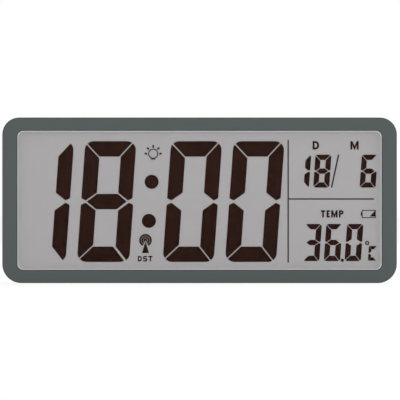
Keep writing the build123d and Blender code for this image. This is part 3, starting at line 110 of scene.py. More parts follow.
# Spread of a finish's gloss about its mean, its least roughness, and its relief as a share of its grain
GLOSS_SPREAD = 0.12
LEAST_ROUGHNESS = 0.02
RELIEF_SHARE = 0.2
GRAIN_DETAIL = 3.0

# Place and size of each lamp in metres. The key lamp hangs above what the pane mirrors to the camera
LAMPS = {
    "key": ((-0.25, -4.5, 0.64), (1.8, 0.6)),
    "fill": ((1.7, -1.6, 0.9), (1.6, 1.6)),
    "back": ((0.8, 1.9, 1.6), (1.6, 1.6)),
}

# The floor's own colour, the white that the camera sees on it, and the share of that white
FLOOR_GREY = 0.9
FLOOR_WHITE = 1.08
FLOOR_WHITE_SHARE = 0.8

# Camera's sensor in millimetres and how far it sees in metres
SENSOR_WIDTH = 36.0
VIEW_DEPTH = 60.0

# Points on each turn of the antenna's wire and round the wire itself
TURN_POINTS = 32
WIRE_SIDES = 10

# Points closer than this are one, and round pieces have an edge where they turn by more than this
WELD = 0.001 * MM
EDGE_ANGLE = math.radians(35)

BUTTON_LEGENDS = {"set": "SET", "up": "+", "down": "\u2013", "wave": "WAVE", "light": "LIGHT"}


class Finish(NamedTuple):
    """A surface: colour, gloss and grain. Grain is the size of its spots in metres."""

    colour: tuple
    roughness: float = 0.5
    metallic: float = 0.0
    grain: float = 0.4 * MM
    tint: float = 0.06
    bump: float = 0.05
    alpha: float = 1.0
    specular: float = 0.5
    stretch: tuple = (1.0, 1.0, 1.0)
    # glow paints light: above nought, the surface gives off light in its own colour though it is no lamp
    glow: float = 0.0


# Finishes by the record's material slots, for everything but the case and the display
SLOT_FINISHES = {
    "tape": Finish((0.02, 0.02, 0.02), 0.9, grain=0.2 * MM, bump=0.3),
    "seal": Finish((0.35, 0.35, 0.36), 0.4),
    "rear_film": Finish((0.4, 0.4, 0.4), 0.35, grain=0.2 * MM),
    "guide_plastic": Finish((0.82, 0.85, 0.86), 0.15, grain=1.5 * MM, bump=0.1),
    "reflector": Finish((0.8, 0.8, 0.8), 0.6, grain=0.3 * MM),
    "lamp": Finish((0.85, 0.75, 0.3), 0.25, grain=0.5 * MM),
    "holder_plastic": Finish((0.62, 0.62, 0.6), 0.5, bump=0.08),
    "resin": Finish((0.012, 0.012, 0.013), 0.25, grain=1.2 * MM, bump=0.15),
    "can_steel": Finish((0.62, 0.62, 0.6), 0.3, 1.0, 0.3 * MM, 0.1, stretch=(0.05, 1.0, 1.0)),
    "can_aluminium": Finish((0.7, 0.7, 0.72), 0.35, 1.0, 0.3 * MM, 0.08, stretch=(1.0, 0.05, 1.0)),
    "ferrite": Finish((0.035, 0.035, 0.04), 0.55, grain=0.6 * MM, tint=0.25, bump=0.25),
    "copper": Finish((0.55, 0.2, 0.07), 0.3, 1.0, 0.8 * MM, 0.15),
    "switch_plastic": Finish((0.018, 0.018, 0.02), 0.45, bump=0.08),
    "screw_steel": Finish((0.5, 0.5, 0.49), 0.35, 1.0, 0.35 * MM, 0.15, 0.15),
    "ribbon": Finish((0.55, 0.56, 0.58), 0.45, grain=1.27 * MM, tint=0.2, stretch=(1.0, 0.02, 0.02)),
    "contact_steel": Finish((0.66, 0.63, 0.56), 0.28, 1.0, 0.5 * MM, 0.12, stretch=(1.0, 0.1, 1.0)),
    "red_wire": Finish((0.4, 0.012, 0.01), 0.4, grain=0.8 * MM),
    "black_wire": Finish((0.012, 0.012, 0.012), 0.4, grain=0.8 * MM),
    "board": Finish((0.016, 0.11, 0.045), 0.35, grain=2.0 * MM, tint=0.1),
    "strip_rubber": Finish((0.45, 0.45, 0.48), 0.6, grain=0.3 * MM, tint=0.5, stretch=(1.0, 0.02, 0.02)),
}


class CaseFinish(PropertyGroup):
    """Moulded parts that the hand touches."""

    colour: FloatVectorProperty(
        name="Case colour",
        description="Slate grey of the two halves, the door and the stand",
        subtype="COLOR",
        min=0.0,
        max=1.0,
        default=(0.0728, 0.0862, 0.0867),
    )
    button_colour: FloatVectorProperty(
        name="Button colour",
        description="Dark rubber of the push buttons",
        subtype="COLOR",
        min=0.0,
        max=1.0,
        default=(0.022, 0.025, 0.026),
    )
    legend_colour: FloatVectorProperty(
        name="Legend colour",
        description="Paint of the words beside the buttons and of the battery diagram",
        subtype="COLOR",
        min=0.0,
        max=1.0,
        default=(0.62, 0.63, 0.63),
    )
    legend_height: FloatProperty(
        name="Legend height",
        description="Height of the capitals beside the buttons",
        unit="LENGTH",
        default=1.5 * MM,
    )
    grain: FloatProperty(
        name="Grain",
        description="Size of the spark-eroded grain of the mould",
        unit="LENGTH",
        default=0.32 * MM,
    )


class DisplayFinish(PropertyGroup):
    """Colours of the display and of the pane over it."""

    background: FloatVectorProperty(
        name="Background",
        description="Grey of the reflecting film behind the segments",
        subtype="COLOR",
        min=0.0,
        max=1.0,
        default=(0.263, 0.2565, 0.26),
    )
    segment: FloatVectorProperty(
        name="Segments",
        description="Near black of a segment that is switched on",
        subtype="COLOR",
        min=0.0,
        max=1.0,
        default=(0.031, 0.0125, 0.0085),
    )
    pane_cover: FloatProperty(
        name="Pane cover",
        description="Share of the light that the clear pane, film and glass stop at each face",
        subtype="FACTOR",
        default=0.008,
    )
    # Painted light: the display reflects, and no lamp in the scene lights it from inside because the
    # backlight's lamps are not lit. This glow evens out the shade that the bezel casts on its grey.
    glow: FloatProperty(
        name="Glow",
        description="Strength of the display's own light, which the lamps at its side feed",
        default=0.75,
    )
    # Painted highlight: opacity of the pale glowing strip on the pane's bevel, which stands in for the
    # light the bevel catches
    painted_highlight_cover: FloatProperty(
        name="Edge cover",
        description="Share of the light that the pale bevel of the pane stops",
        subtype="FACTOR",
        default=0.4,
    )


class SignSizes(PropertyGroup):
    """Sizes of the small words and signs of the display."""

    letter_height: FloatProperty(
        name="Day and month letters",
        description="Height of the two letters over the date",
        unit="LENGTH",
        default=4.72 * MM,
    )
    word_height: FloatProperty(
        name="Temperature word",
        description="Height of the word over the temperature",
        unit="LENGTH",
        default=4.05 * MM,
    )
    note_height: FloatProperty(
        name="Summer time word",
        description="Height of the word under the radio sign",
        unit="LENGTH",
        default=3.1 * MM,
    )
    letter_weight: FloatProperty(
        name="Letter weight",
        description="Stroke of the day and month letters as a share of their height",
        subtype="FACTOR",
        default=0.23,
    )
    word_weight: FloatProperty(
        name="Word weight",
        description="Stroke of the words as a share of their height",
        subtype="FACTOR",
        default=0.23,
    )
    stroke: FloatProperty(
        name="Line width",
        description="Width of the lines of the signs",
        unit="LENGTH",
        default=0.58 * MM,
    )
    lamp_radius: FloatProperty(
        name="Lamp radius",
        description="Outer radius of the lamp sign's bulb",
        unit="LENGTH",
        default=2.84 * MM,
    )
    ray_count: IntProperty(
        name="Rays",
        description="Number of rays round the lamp sign",
        default=5,
    )
    ray_radius: FloatProperty(
        name="Ray circle",
        description="Distance of the rays from the middle of the bulb",
        unit="LENGTH",
        default=4.07 * MM,
    )
    radio_radius: FloatProperty(
        name="Radio waves",
        description="Outer radius of the largest wave of the radio sign",
        unit="LENGTH",
        default=3.55 * MM,
    )
    wave_stroke: FloatProperty(
        name="Wave width",
        description="Width of the waves of the radio sign",
        unit="LENGTH",
        default=1.04 * MM,
    )


class StageSettings(PropertyGroup):
    """Light and camera."""

    camera_distance: FloatProperty(
        name="Camera distance",
        description="From the camera to the front of the case",
        unit="LENGTH",
        default=3.0,
    )
    room_light: FloatProperty(
        name="Room light",
        description="Strength of the even light from all sides",
        default=0.45,
    )
    key_power: FloatProperty(
        name="Key lamp",
        description="Power of the soft lamp behind and over the reader",
        unit="POWER",
        default=58.0,
    )
    fill_power: FloatProperty(
        name="Fill lamp",
        description="Power of the soft lamp on the right",
        unit="POWER",
        default=8.0,
    )
    back_power: FloatProperty(
        name="Back lamp",
        description="Power of the soft lamp behind the clock",
        unit="POWER",
        default=34.0,
    )
    floor_size: FloatProperty(
        name="Floor",
        description="Length of a side of the floor",
        unit="LENGTH",
        default=24.0,
    )


def shade(colour, factor):
    """A colour made darker or lighter, with alpha."""
    return (*(min(1.0, c * factor) for c in colour), 1.0)


def finish_material(name, finish):
    """Principled material with a grain that varies its colour, gloss and relief."""
    material = bpy.data.materials.new(name)
    material.use_nodes = True
    nodes = material.node_tree.nodes
    links = material.node_tree.links
    shader = nodes["Principled BSDF"]
    shader.inputs["Metallic"].default_value = finish.metallic
    shader.inputs["Alpha"].default_value = finish.alpha
    shader.inputs["Specular IOR Level"].default_value = finish.specular
    place = nodes.new("ShaderNodeTexCoord")
    mapping = nodes.new("ShaderNodeMapping")
    mapping.inputs["Scale"].default_value = finish.stretch
    links.new(place.outputs["Object"], mapping.inputs["Vector"])
    grain = nodes.new("ShaderNodeTexNoise")
    grain.inputs["Scale"].default_value = 1.0 / finish.grain
    grain.inputs["Detail"].default_value = GRAIN_DETAIL
    links.new(mapping.outputs["Vector"], grain.inputs["Vector"])
    tone = nodes.new("ShaderNodeMix")
    tone.data_type = "RGBA"
    low, high = [s for s in tone.inputs if s.type == "RGBA"]
    low.default_value = shade(finish.colour, 1.0 - finish.tint)
    high.default_value = shade(finish.colour, 1.0 + finish.tint)
    links.new(grain.outputs[0], tone.inputs[0])
    mixed = next(s for s in tone.outputs if s.type == "RGBA")
    links.new(mixed, shader.inputs["Base Color"])
    # Painted light: with a glow above nought the surface shines in its own colour though it is no lamp
    links.new(mixed, shader.inputs["Emission Color"])
    shader.inputs["Emission Strength"].default_value = finish.glow
    gloss = nodes.new("ShaderNodeMapRange")
    gloss.inputs["To Min"].default_value = max(LEAST_ROUGHNESS, finish.roughness * (1 - GLOSS_SPREAD))
    gloss.inputs["To Max"].default_value = min(1.0, finish.roughness * (1 + GLOSS_SPREAD))
    links.new(grain.outputs[0], gloss.inputs["Value"])
    links.new(gloss.outputs["Result"], shader.inputs["Roughness"])
    relief = nodes.new("ShaderNodeBump")
    relief.inputs["Strength"].default_value = finish.bump
    relief.inputs["Distance"].default_value = finish.grain * RELIEF_SHARE
    links.new(grain.outputs[0], relief.inputs["Height"])
    links.new(relief.outputs["Normal"], shader.inputs["Normal"])
    return material


def paint(node, material):
    """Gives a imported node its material."""
    slots = frame["nodes"][node].data.materials
    slots.clear()
    slots.append(material)


def nodes_of(slot):
    """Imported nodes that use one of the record's material slots."""
    return [part["node"] for part in frame["record"]["subparts"] if part["material_slot"] == slot]


def box_middle(node):
    low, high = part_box(node)
    return (low + high) / 2


def new_piece(name, mesh, material, body, replaced=()):
    """Finished piece from a mesh whose place is already in its points."""
    mesh.materials.clear()
    mesh.materials.append(material)
    piece = bpy.data.objects.new(name, mesh)
    bpy.context.scene.collection.objects.link(piece)
    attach(piece, body)
    if replaced:
        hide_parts(*replaced)
    return piece


def merged(name, meshes):
    """One mesh out of several, which are then removed."""
    bm = bmesh.new()
    for mesh in meshes:
        bm.from_mesh(mesh)
    bmesh.ops.remove_doubles(bm, verts=bm.verts, dist=WELD)
    bmesh.ops.recalc_face_normals(bm, faces=bm.faces)
    result = bpy.data.meshes.new(name)
    bm.to_mesh(result)
    bm.free()
    for mesh in meshes:
        bpy.data.meshes.remove(mesh)
    return result


def placed(mesh, turn, middle):
    """Turns a flat drawing upright and moves it to its place."""
    mesh.transform(Matrix.Translation(middle) @ turn)
    return mesh


def plate(outline, thickness, hole=None):
    """Flat plate of an outline, with an inner outline of as many points as a hole."""
    bm = bmesh.new()
    half = thickness / 2
    count = len(outline)
    outer = [[bm.verts.new((x, y, z)) for x, y in outline] for z in (-half, half)]
    walls = [outer]
    if hole:
        walls.append([[bm.verts.new((x, y, z)) for x, y in hole] for z in (-half, half)])
    for wall in walls:
        for i in range(count):
            j = (i + 1) % count
            bm.faces.new((wall[0][i], wall[0][j], wall[1][j], wall[1][i]))
    for level in (0, 1):
        if not hole:
            bm.faces.new(outer[level])
            continue
        inner = walls[1]
        for i in range(count):
            j = (i + 1) % count
            bm.faces.new((outer[level][i], outer[level][j], inner[level][j], inner[level][i]))
    bmesh.ops.recalc_face_normals(bm, faces=bm.faces)
    mesh = bpy.data.meshes.new("plate")
    bm.to_mesh(mesh)
    bm.free()
    return mesh


def circle_points(radius, steps=48, middle=(0.0, 0.0)):
    turns = [2 * math.pi * i / steps for i in range(steps)]
    return [(middle[0] + radius * math.cos(t), middle[1] + radius * math.sin(t)) for t in turns]


def box_points(left, right, low, high):
    return [(left, low), (right, low), (right, high), (left, high)]


def wave_outline(radius, stroke, opening, steps=40):
    """Band of a circle that is open at the bottom by an angle."""
    start = math.radians(-90 + opening / 2)
    sweep = math.radians(360 - opening)
    angles = [start + sweep * i / steps for i in range(steps + 1)]
    outer = [(radius * math.cos(a), radius * math.sin(a)) for a in angles]
    inner = [((radius - stroke) * math.cos(a), (radius - stroke) * math.sin(a)) for a in angles]
    return outer + inner[::-1]


def bowl(right, low, high, radius, left=0.0, steps=8):
    """Outline of a bar that is round at its right corners."""
    points = [(left, low)]
    for start, z in ((-90, low + radius), (0, high - radius)):
        for i in range(steps + 1):
            angle = math.radians(start + 90 * i / steps)
            points.append((right - radius + radius * math.cos(angle), z + radius * math.sin(angle)))
    return points + [(left, high)]


def block_letter(character, w, h, s):
    """Plates of one bold letter from its lower left corner: outlines, each with its hole or None."""
    m = h / 2
    cut = s / 2
    tip = 0.6 * s
    notch = 1.85 * s
    plain = {
        "E": [(0, 0), (w, 0), (w, s), (s, s), (s, m - cut), (w - cut, m - cut), (w - cut, m + cut)]
        + [(s, m + cut), (s, h - s), (w, h - s), (w, h), (0, h)],
        "M": [(0, 0), (s, 0), (s, h - 2 * s), ((w - tip) / 2, 0), ((w + tip) / 2, 0), (w - s, h - 2 * s)]
        + [(w - s, 0), (w, 0), (w, h), (w - s, h), (w / 2, notch), (s, h), (0, h)],
        "S": [(0, 0), (w - cut, 0), (w, cut), (w, m), (w - cut, m + cut), (s, m + cut), (s, h - s)]
        + [(w, h - s), (w, h), (cut, h), (0, h - cut), (0, m), (cut, m - cut), (w - s, m - cut)]
        + [(w - s, s), (0, s)],
        "T": [(w / 2 - cut, 0), (w / 2 + cut, 0), (w / 2 + cut, h - s), (w, h - s), (w, h), (0, h)]
        + [(0, h - s), (w / 2 - cut, h - s)],
    }
    if character in plain:
        return [(plain[character], None)]
    bowl_height = h if character == "D" else 0.6 * h
    low = h - bowl_height
    radius = min(bowl_height / 2, 0.6 * w)
    inner_radius = max(radius - s, 0.2 * s)
    plates = [(bowl(w, low, h, radius), bowl(w - s, low + s, h - s, inner_radius, s))]
    if character == "P":
        plates.append(([(0, 0), (s, 0), (s, low), (0, low)], None))
    return plates


def block_word(text, width, height, stroke, thickness):
    """Bold word with its middle at the origin, as flat meshes."""
    shares = [LETTER_WIDTHS[c] for c in text]
    unit = width / (sum(shares) + LETTER_SPACE * (len(text) - 1))
    left = -width / 2
    meshes = []
    for character, share in zip(text, shares):
        for outline, hole in block_letter(character, share * unit, height, stroke):
            mesh = plate(outline, thickness, hole)
            mesh.transform(Matrix.Translation((left, -height / 2, 0.0)))
            meshes.append(mesh)
        left += (share + LETTER_SPACE) * unit
    return meshes


def word(text, capital, thickness, weight):
    """Flat word with capitals of a given height and its middle at the origin."""
    curve = bpy.data.curves.new(text, "FONT")
    curve.body = text
    curve.offset = weight
    curve.extrude = 0.1
    curve.resolution_u = 6
    holder = bpy.data.objects.new(text, curve)
    bpy.context.scene.collection.objects.link(holder)
    bpy.context.view_layer.update()
    evaluated = holder.evaluated_get(bpy.context.evaluated_depsgraph_get())
    mesh = bpy.data.meshes.new_from_object(evaluated)
    bpy.data.objects.remove(holder)
    bpy.data.curves.remove(curve)
    corners = [v.co for v in mesh.vertices]
    low = Vector(min(c[i] for c in corners) for i in range(3))
    high = Vector(max(c[i] for c in corners) for i in range(3))
    scale = capital / CAPITAL_SHARE
    fit = Matrix.Diagonal((scale, scale, thickness / (high.z - low.z), 1.0))
    mesh.transform(fit @ Matrix.Translation(-(low + high) / 2))
    return mesh


def tree_with_inputs(name, inputs):
    """Empty Geometry Nodes tree with named number inputs and one geometry output."""
    tree = bpy.data.node_groups.new(name, "GeometryNodeTree")
    tree.interface.new_socket(name="Geometry", in_out="OUTPUT", socket_type="NodeSocketGeometry")
    for label, kind in inputs:
        tree.interface.new_socket(name=label, in_out="INPUT", socket_type=kind)
    return tree, tree.nodes.new("NodeGroupInput"), tree.nodes.new("NodeGroupOutput")


def grown_mesh(tree, values):
    """Plain mesh that a Geometry Nodes tree gives for named input values."""
    holder = bpy.data.objects.new(tree.name, bpy.data.meshes.new(tree.name))
    bpy.context.scene.collection.objects.link(holder)
    modifier = holder.modifiers.new(tree.name, "NODES")
    modifier.node_group = tree
    for item in tree.interface.items_tree:
        if item.in_out == "INPUT":
            modifier[item.identifier] = values[item.name]
    bpy.context.view_layer.update()
    evaluated = holder.evaluated_get(bpy.context.evaluated_depsgraph_get())
    mesh = bpy.data.meshes.new_from_object(evaluated)
    holder.modifiers.remove(modifier)
    bpy.data.objects.remove(holder)
    return mesh


def ray_tree(material):
    """Short bars spread over a half circle, each pointing outwards."""
    number = "NodeSocketFloat"
    labels = [("Count", "NodeSocketInt"), ("Circle", number), ("Bar", "NodeSocketVector")]
    tree, given, result = tree_with_inputs("lamp_rays", labels)
    arc = tree.nodes.new("GeometryNodeCurveArc")
    arc.inputs["Start Angle"].default_value = 0.0
    arc.inputs["Sweep Angle"].default_value = math.pi
    bar = tree.nodes.new("GeometryNodeMeshCube")
    tangent = tree.nodes.new("GeometryNodeInputTangent")
    turn = tree.nodes.new("FunctionNodeAlignRotationToVector")
    turn.axis = "Y"
    spread = tree.nodes.new("GeometryNodeInstanceOnPoints")
    realize = tree.nodes.new("GeometryNodeRealizeInstances")
    coat = tree.nodes.new("GeometryNodeSetMaterial")
    coat.inputs["Material"].default_value = material
    link = tree.links.new
    link(given.outputs["Count"], arc.inputs["Resolution"])
    link(given.outputs["Circle"], arc.inputs["Radius"])
    link(given.outputs["Bar"], bar.inputs["Size"])
    link(tangent.outputs[0], turn.inputs["Vector"])
    link(arc.outputs["Curve"], spread.inputs["Points"])
    link(bar.outputs["Mesh"], spread.inputs["Instance"])
    link(turn.outputs[0], spread.inputs["Rotation"])
    link(spread.outputs["Instances"], realize.inputs["Geometry"])
    link(realize.outputs["Geometry"], coat.inputs["Geometry"])
    link(coat.outputs["Geometry"], result.inputs["Geometry"])
    return tree


def winding_tree(material):
    """Round wire wound in one layer along Z."""
    number = "NodeSocketFloat"
    labels = [("Turns", number), ("Radius", number), ("Length", number), ("Wire", number)]
    tree, given, result = tree_with_inputs("antenna_turns", labels)
    spiral = tree.nodes.new("GeometryNodeCurveSpiral")
    spiral.inputs["Resolution"].default_value = TURN_POINTS
    section = tree.nodes.new("GeometryNodeCurvePrimitiveCircle")
    section.inputs["Resolution"].default_value = WIRE_SIDES
    tube = tree.nodes.new("GeometryNodeCurveToMesh")
    tube.inputs["Fill Caps"].default_value = True
    realize = tree.nodes.new("GeometryNodeRealizeInstances")
    coat = tree.nodes.new("GeometryNodeSetMaterial")
    coat.inputs["Material"].default_value = material
    link = tree.links.new
    link(given.outputs["Turns"], spiral.inputs["Rotations"])
    link(given.outputs["Radius"], spiral.inputs["Start Radius"])
    link(given.outputs["Radius"], spiral.inputs["End Radius"])
    link(given.outputs["Length"], spiral.inputs["Height"])
    link(given.outputs["Wire"], section.inputs["Radius"])
    link(spiral.outputs["Curve"], tube.inputs["Curve"])
    link(section.outputs["Curve"], tube.inputs["Profile Curve"])
    link(tube.outputs["Mesh"], realize.inputs["Geometry"])
    link(realize.outputs["Geometry"], coat.inputs["Geometry"])
    link(coat.outputs["Geometry"], result.inputs["Geometry"])
    return tree


def turned(profile, steps=48):
    """Round solid about X from points (along, radius)."""
    bm = bmesh.new()
    rings = []
    turns = [2 * math.pi * i / steps for i in range(steps)]
    for along, radius in profile:
        if radius == 0.0:
            rings.append([bm.verts.new((along, 0.0, 0.0))] * steps)
            continue
        rings.append([bm.verts.new((along, radius * math.cos(t), radius * math.sin(t))) for t in turns])
    for first, second in zip(rings, rings[1:]):
        for i in range(steps):
            j = (i + 1) % steps
            corners = list(dict.fromkeys((first[i], first[j], second[j], second[i])))
            bm.faces.new(corners)
    bmesh.ops.recalc_face_normals(bm, faces=bm.faces)
    mesh = bpy.data.meshes.new("turned")
    bm.to_mesh(mesh)
    bm.free()
    for polygon in mesh.polygons:
        polygon.use_smooth = True
    mesh.set_sharp_from_angle(angle=EDGE_ANGLE)
    return mesh


class CLOCK_OT_case(Operator):
    """Finish of the moulded case, door, stand and buttons"""

    bl_idname = "clock.case"
    bl_label = "Case finish"

    def execute(self, context):
        look = context.scene.clock_case
        shell = Finish(tuple(look.colour), 0.56, grain=look.grain, tint=0.05, bump=0.1, specular=0.28)
        plastic = finish_material("slate_plastic", shell)
        for node in nodes_of("case_plastic"):
            paint(node, plastic)
        rubber = Finish(tuple(look.button_colour), 0.7, grain=0.25 * MM, tint=0.1, bump=0.12, specular=0.3)
        button = finish_material("button_rubber", rubber)
        for node in nodes_of("button_rubber"):
            paint(node, button)
        return {"FINISHED"}


class CLOCK_OT_display(Operator):
    """Finish of the segments, the background and the clear layers of the display"""

    bl_idname = "clock.display"
    bl_label = "Display finish"

    def execute(self, context):
        look = context.scene.clock_display
        dark = Finish(tuple(look.segment), 0.5, grain=0.3 * MM, tint=0.08, bump=0.02, specular=0.0)
        segment = finish_material("dark_segment", dark)
        for node in nodes_of("segments"):
            paint(node, segment)
        grey = Finish(tuple(look.background), 0.6, grain=0.16 * MM, tint=0.03, bump=0.03, specular=0.0)
        # Painted light: the grey background glows in its own colour to fill the shade round the display's
        # edges
        paint("lcd_rear_glass", finish_material("display_grey", grey._replace(glow=look.glow)))
        clear = Finish((0.03, 0.03, 0.03), 0.06, grain=9 * MM, tint=0.1, bump=0.01, alpha=look.pane_cover)
        layers = finish_material("clear_layer", clear)
        for node in ("display_window", "lcd_front_polariser", "lcd_front_glass"):
            paint(node, layers)
        return {"FINISHED"}


class CLOCK_OT_inside(Operator):
    """Finish of the boards, contacts, wires and the other pieces inside"""

    bl_idname = "clock.inside"
    bl_label = "Inside finish"

    def execute(self, context):
        for slot, finish in SLOT_FINISHES.items():
            material = finish_material("inside_" + slot, finish)
            for node in nodes_of(slot):
                paint(node, material)
        return {"FINISHED"}


class CLOCK_OT_words(Operator):
    """Letters and words of the display"""

    bl_idname = "clock.words"
    bl_label = "Display words"

    def execute(self, context):
        sizes = context.scene.clock_signs
        low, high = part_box("time_digits")
        depth = high.y - low.y
        middle_y = (low.y + high.y) / 2
        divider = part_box("display_rules")[0].x
        over_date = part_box("date_digits")[1].z + DATE_LETTER_RISE
        over_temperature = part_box("temperature_digits")[1].z + TEMPERATURE_WORD_RISE
        colon = box_middle("colon_dots")
        entries = (
            ("D", sizes.letter_height, divider + DAY_STEP, over_date),
            ("M", sizes.letter_height, divider + MONTH_STEP, over_date),
            ("TEMP", sizes.word_height, divider + TEMPERATURE_STEP, over_temperature),
            ("DST", sizes.note_height, colon.x + NOTE_STEP[0], colon.z + NOTE_STEP[1]),
        )
        meshes = []
        for text, height, x, z in entries:
            weight = sizes.letter_weight if len(text) == 1 else sizes.word_weight
            flats = block_word(text, WORD_WIDTHS[text], height, weight * height, depth)
            meshes += [placed(flat, READ_FROM_FRONT, (x, middle_y, z)) for flat in flats]
        mesh = merged("display_words", meshes)
        new_piece("display_words", mesh, bpy.data.materials["dark_segment"], "case")
        return {"FINISHED"}


def lamp_sign(sizes, depth, material):
    """Flat meshes of a bulb on two feet with rays round its upper half."""
    ray_length = 1.45 * MM
    ray_width = 1.0 * MM
    foot_radius = 0.5 * MM
    foot_step = 0.72 * MM
    foot_drop = 2.98 * MM
    bar = Vector((ray_length, ray_width, depth))
    rays = {"Count": sizes.ray_count, "Circle": sizes.ray_radius, "Bar": bar}
    radius = sizes.lamp_radius
    flats = [grown_mesh(ray_tree(material), rays)]
    flats.append(plate(circle_points(radius), depth, circle_points(radius - sizes.stroke)))
    for x in (-foot_step, foot_step):
        flats.append(plate(circle_points(foot_radius, steps=16, middle=(x, -foot_drop)), depth))
    return flats


def radio_sign(sizes, depth):
    """Flat meshes of three waves round the tip of a mast."""
    wave_pitch = 1.22 * MM
    wave_opening = 54.0
    mast_half = 1.95 * MM
    mast_foot = -7.1 * MM
    mast_tip = -0.5 * MM
    radii = [sizes.radio_radius - wave_pitch * i for i in range(3)]
    flats = [plate(wave_outline(radius, sizes.wave_stroke, wave_opening), depth) for radius in radii]
    flats.append(plate([(-mast_half, mast_foot), (mast_half, mast_foot), (0.0, mast_tip)], depth))
    return flats


def battery_sign(depth):
    """Flat meshes of a nearly empty battery with its pole on the left."""
    half_width = 3.9 * MM
    half_height = 2.23 * MM
    line = 0.44 * MM
    pole = 0.55 * MM
    pole_half = 1.0 * MM
    level_left = 0.5 * MM
    level_right = 3.45 * MM
    level_low = -1.4 * MM
    level_high = 1.78 * MM
    outer = box_points(-half_width, half_width, -half_height, half_height)
    inner = box_points(line - half_width, half_width - line, line - half_height, half_height - line)
    nub = box_points(-half_width - pole, -half_width, -pole_half, pole_half)
    level = [(level_left, level_low), (level_right, level_low), (level_right, level_high)]
    return [plate(outer, depth, inner), plate(nub, depth), plate(level, depth)]


class CLOCK_OT_signs(Operator):
    """Lamp, radio and battery signs of the display"""

    bl_idname = "clock.signs"
    bl_label = "Display signs"

    def execute(self, context):
        sizes = context.scene.clock_signs
        material = bpy.data.materials["dark_segment"]
        low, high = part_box("time_digits")
        depth = high.y - low.y
        middle_y = (low.y + high.y) / 2
        colon = box_middle("colon_dots")
        lamp = (colon.x + LAMP_STEP[0], middle_y, colon.z + LAMP_STEP[1])
        radio = (colon.x + RADIO_STEP[0], middle_y, colon.z + RADIO_STEP[1])
        battery_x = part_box("display_rules")[0].x + BATTERY_STEP
        battery_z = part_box("temperature_digits")[1].z + BATTERY_RISE
        signs = (
            (lamp_sign(sizes, depth, material), lamp),
            (radio_sign(sizes, depth), radio),
            (battery_sign(depth), (battery_x, middle_y, battery_z)),
        )
        meshes = [placed(flat, READ_FROM_FRONT, place) for flats, place in signs for flat in flats]
        new_piece("display_signs", merged("display_signs", meshes), material, "case")
        return {"FINISHED"}


class CLOCK_OT_painted_pane_highlight(Operator):
    """Painted highlight: a pale, glowing, half clear strip laid over the polished bevel round the clear
    pane
    """

    bl_idname = "clock.pane_edge"
    bl_label = "Pane edge"

    def execute(self, context):
        look = context.scene.clock_display
        low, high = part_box("display_window")
        lap = 1.72 * MM
        bevel = 0.5 * MM
        lift = 0.02 * MM
        corner = 3.18 * MM
        corner_steps = 8
        half_x = (high.x - low.x) / 2 - lap
        half_z = (high.z - low.z) / 2 - lap
        middle_z = (high.z + low.z) / 2

        def loop(inset, y):
            points = []
            radius = corner - inset
            for sx, sz, start in ((1, 1, 0), (-1, 1, 90), (-1, -1, 180), (1, -1, 270)):
                cx = sx * (half_x - corner)
                cz = middle_z + sz * (half_z - corner)
                for i in range(corner_steps + 1):
                    angle = math.radians(start + 90 * i / corner_steps)
                    points.append((cx + radius * math.cos(angle), y, cz + radius * math.sin(angle)))
            return points

        bm = bmesh.new()
        back = [loop(0.0, low.y + bevel), loop(bevel, low.y)]
        front = [loop(bevel, low.y - lift), loop(-lift, low.y + bevel)]
        rings = [[bm.verts.new(p) for p in outline] for outline in back + front]
        count = len(rings[0])
        for first, second in zip(rings, rings[1:] + rings[:1]):
            for i in range(count):
                j = (i + 1) % count
                bm.faces.new((first[i], first[j], second[j], second[i]))
        bmesh.ops.recalc_face_normals(bm, faces=bm.faces)
        mesh = bpy.data.meshes.new("pane_edge")
        bm.to_mesh(mesh)
        bm.free()
        # Painted highlight: the bevel's shape is real, but its pale colour and its glow paint the light
        # line that the bevel catches
        pale = Finish((0.85, 0.85, 0.85), 0.4, grain=0.5 * MM, tint=0.05, alpha=look.painted_highlight_cover, glow=0.32)
        new_piece("pane_edge", mesh, finish_material("pale_bevel", pale), "case")
        return {"FINISHED"}


def cell_profiles(length, radius):
    """Profiles (along, radius) of a cell's jacket, coloured band, positive tip and base, from its base."""
    skin = radius - 0.08 * MM
    wall = 0.6 * MM
    fold = 1.2 * MM
    rim = 0.4 * MM
    straight = 0.5 * MM
    rounding = 0.2 * MM
    pole_radius = 2.75 * MM
    pole_edge = 0.3 * MM
    band = length - 13.0 * MM
    shoulder = length - fold
    jacket = [
        (rim, skin - fold),
        (0.1 * MM, skin - 0.7 * MM),
        (0.15 * MM, skin - rounding),
        (straight, skin),
        (band, skin),
        (band, skin - wall),
        (rim, skin - fold),
    ]
    sleeve = [
        (band, skin - wall),
        (band, skin),
        (shoulder - straight, skin),
        (shoulder - 0.1 * MM, skin - rounding),
        (shoulder, skin - wall),
        (shoulder - 0.3 * MM, skin - 1.4 * MM),
        (band, skin - wall),
    ]
    tip = [
        (shoulder - straight, 0.0),
        (shoulder - straight, skin - fold),
        (shoulder - 0.25 * MM, skin - 1.5 * MM),
        (shoulder - rounding, pole_radius),
        (length - pole_edge, pole_radius),
        (length, pole_radius - pole_edge),
        (length, 0.0),
    ]
    base = [
        (0.2 * MM, 0.0),
        (0.2 * MM, skin - 2.0 * MM),
        (straight, skin - 1.4 * MM),
        (0.8 * MM, 0.0),
    ]
    return jacket, sleeve, tip, base


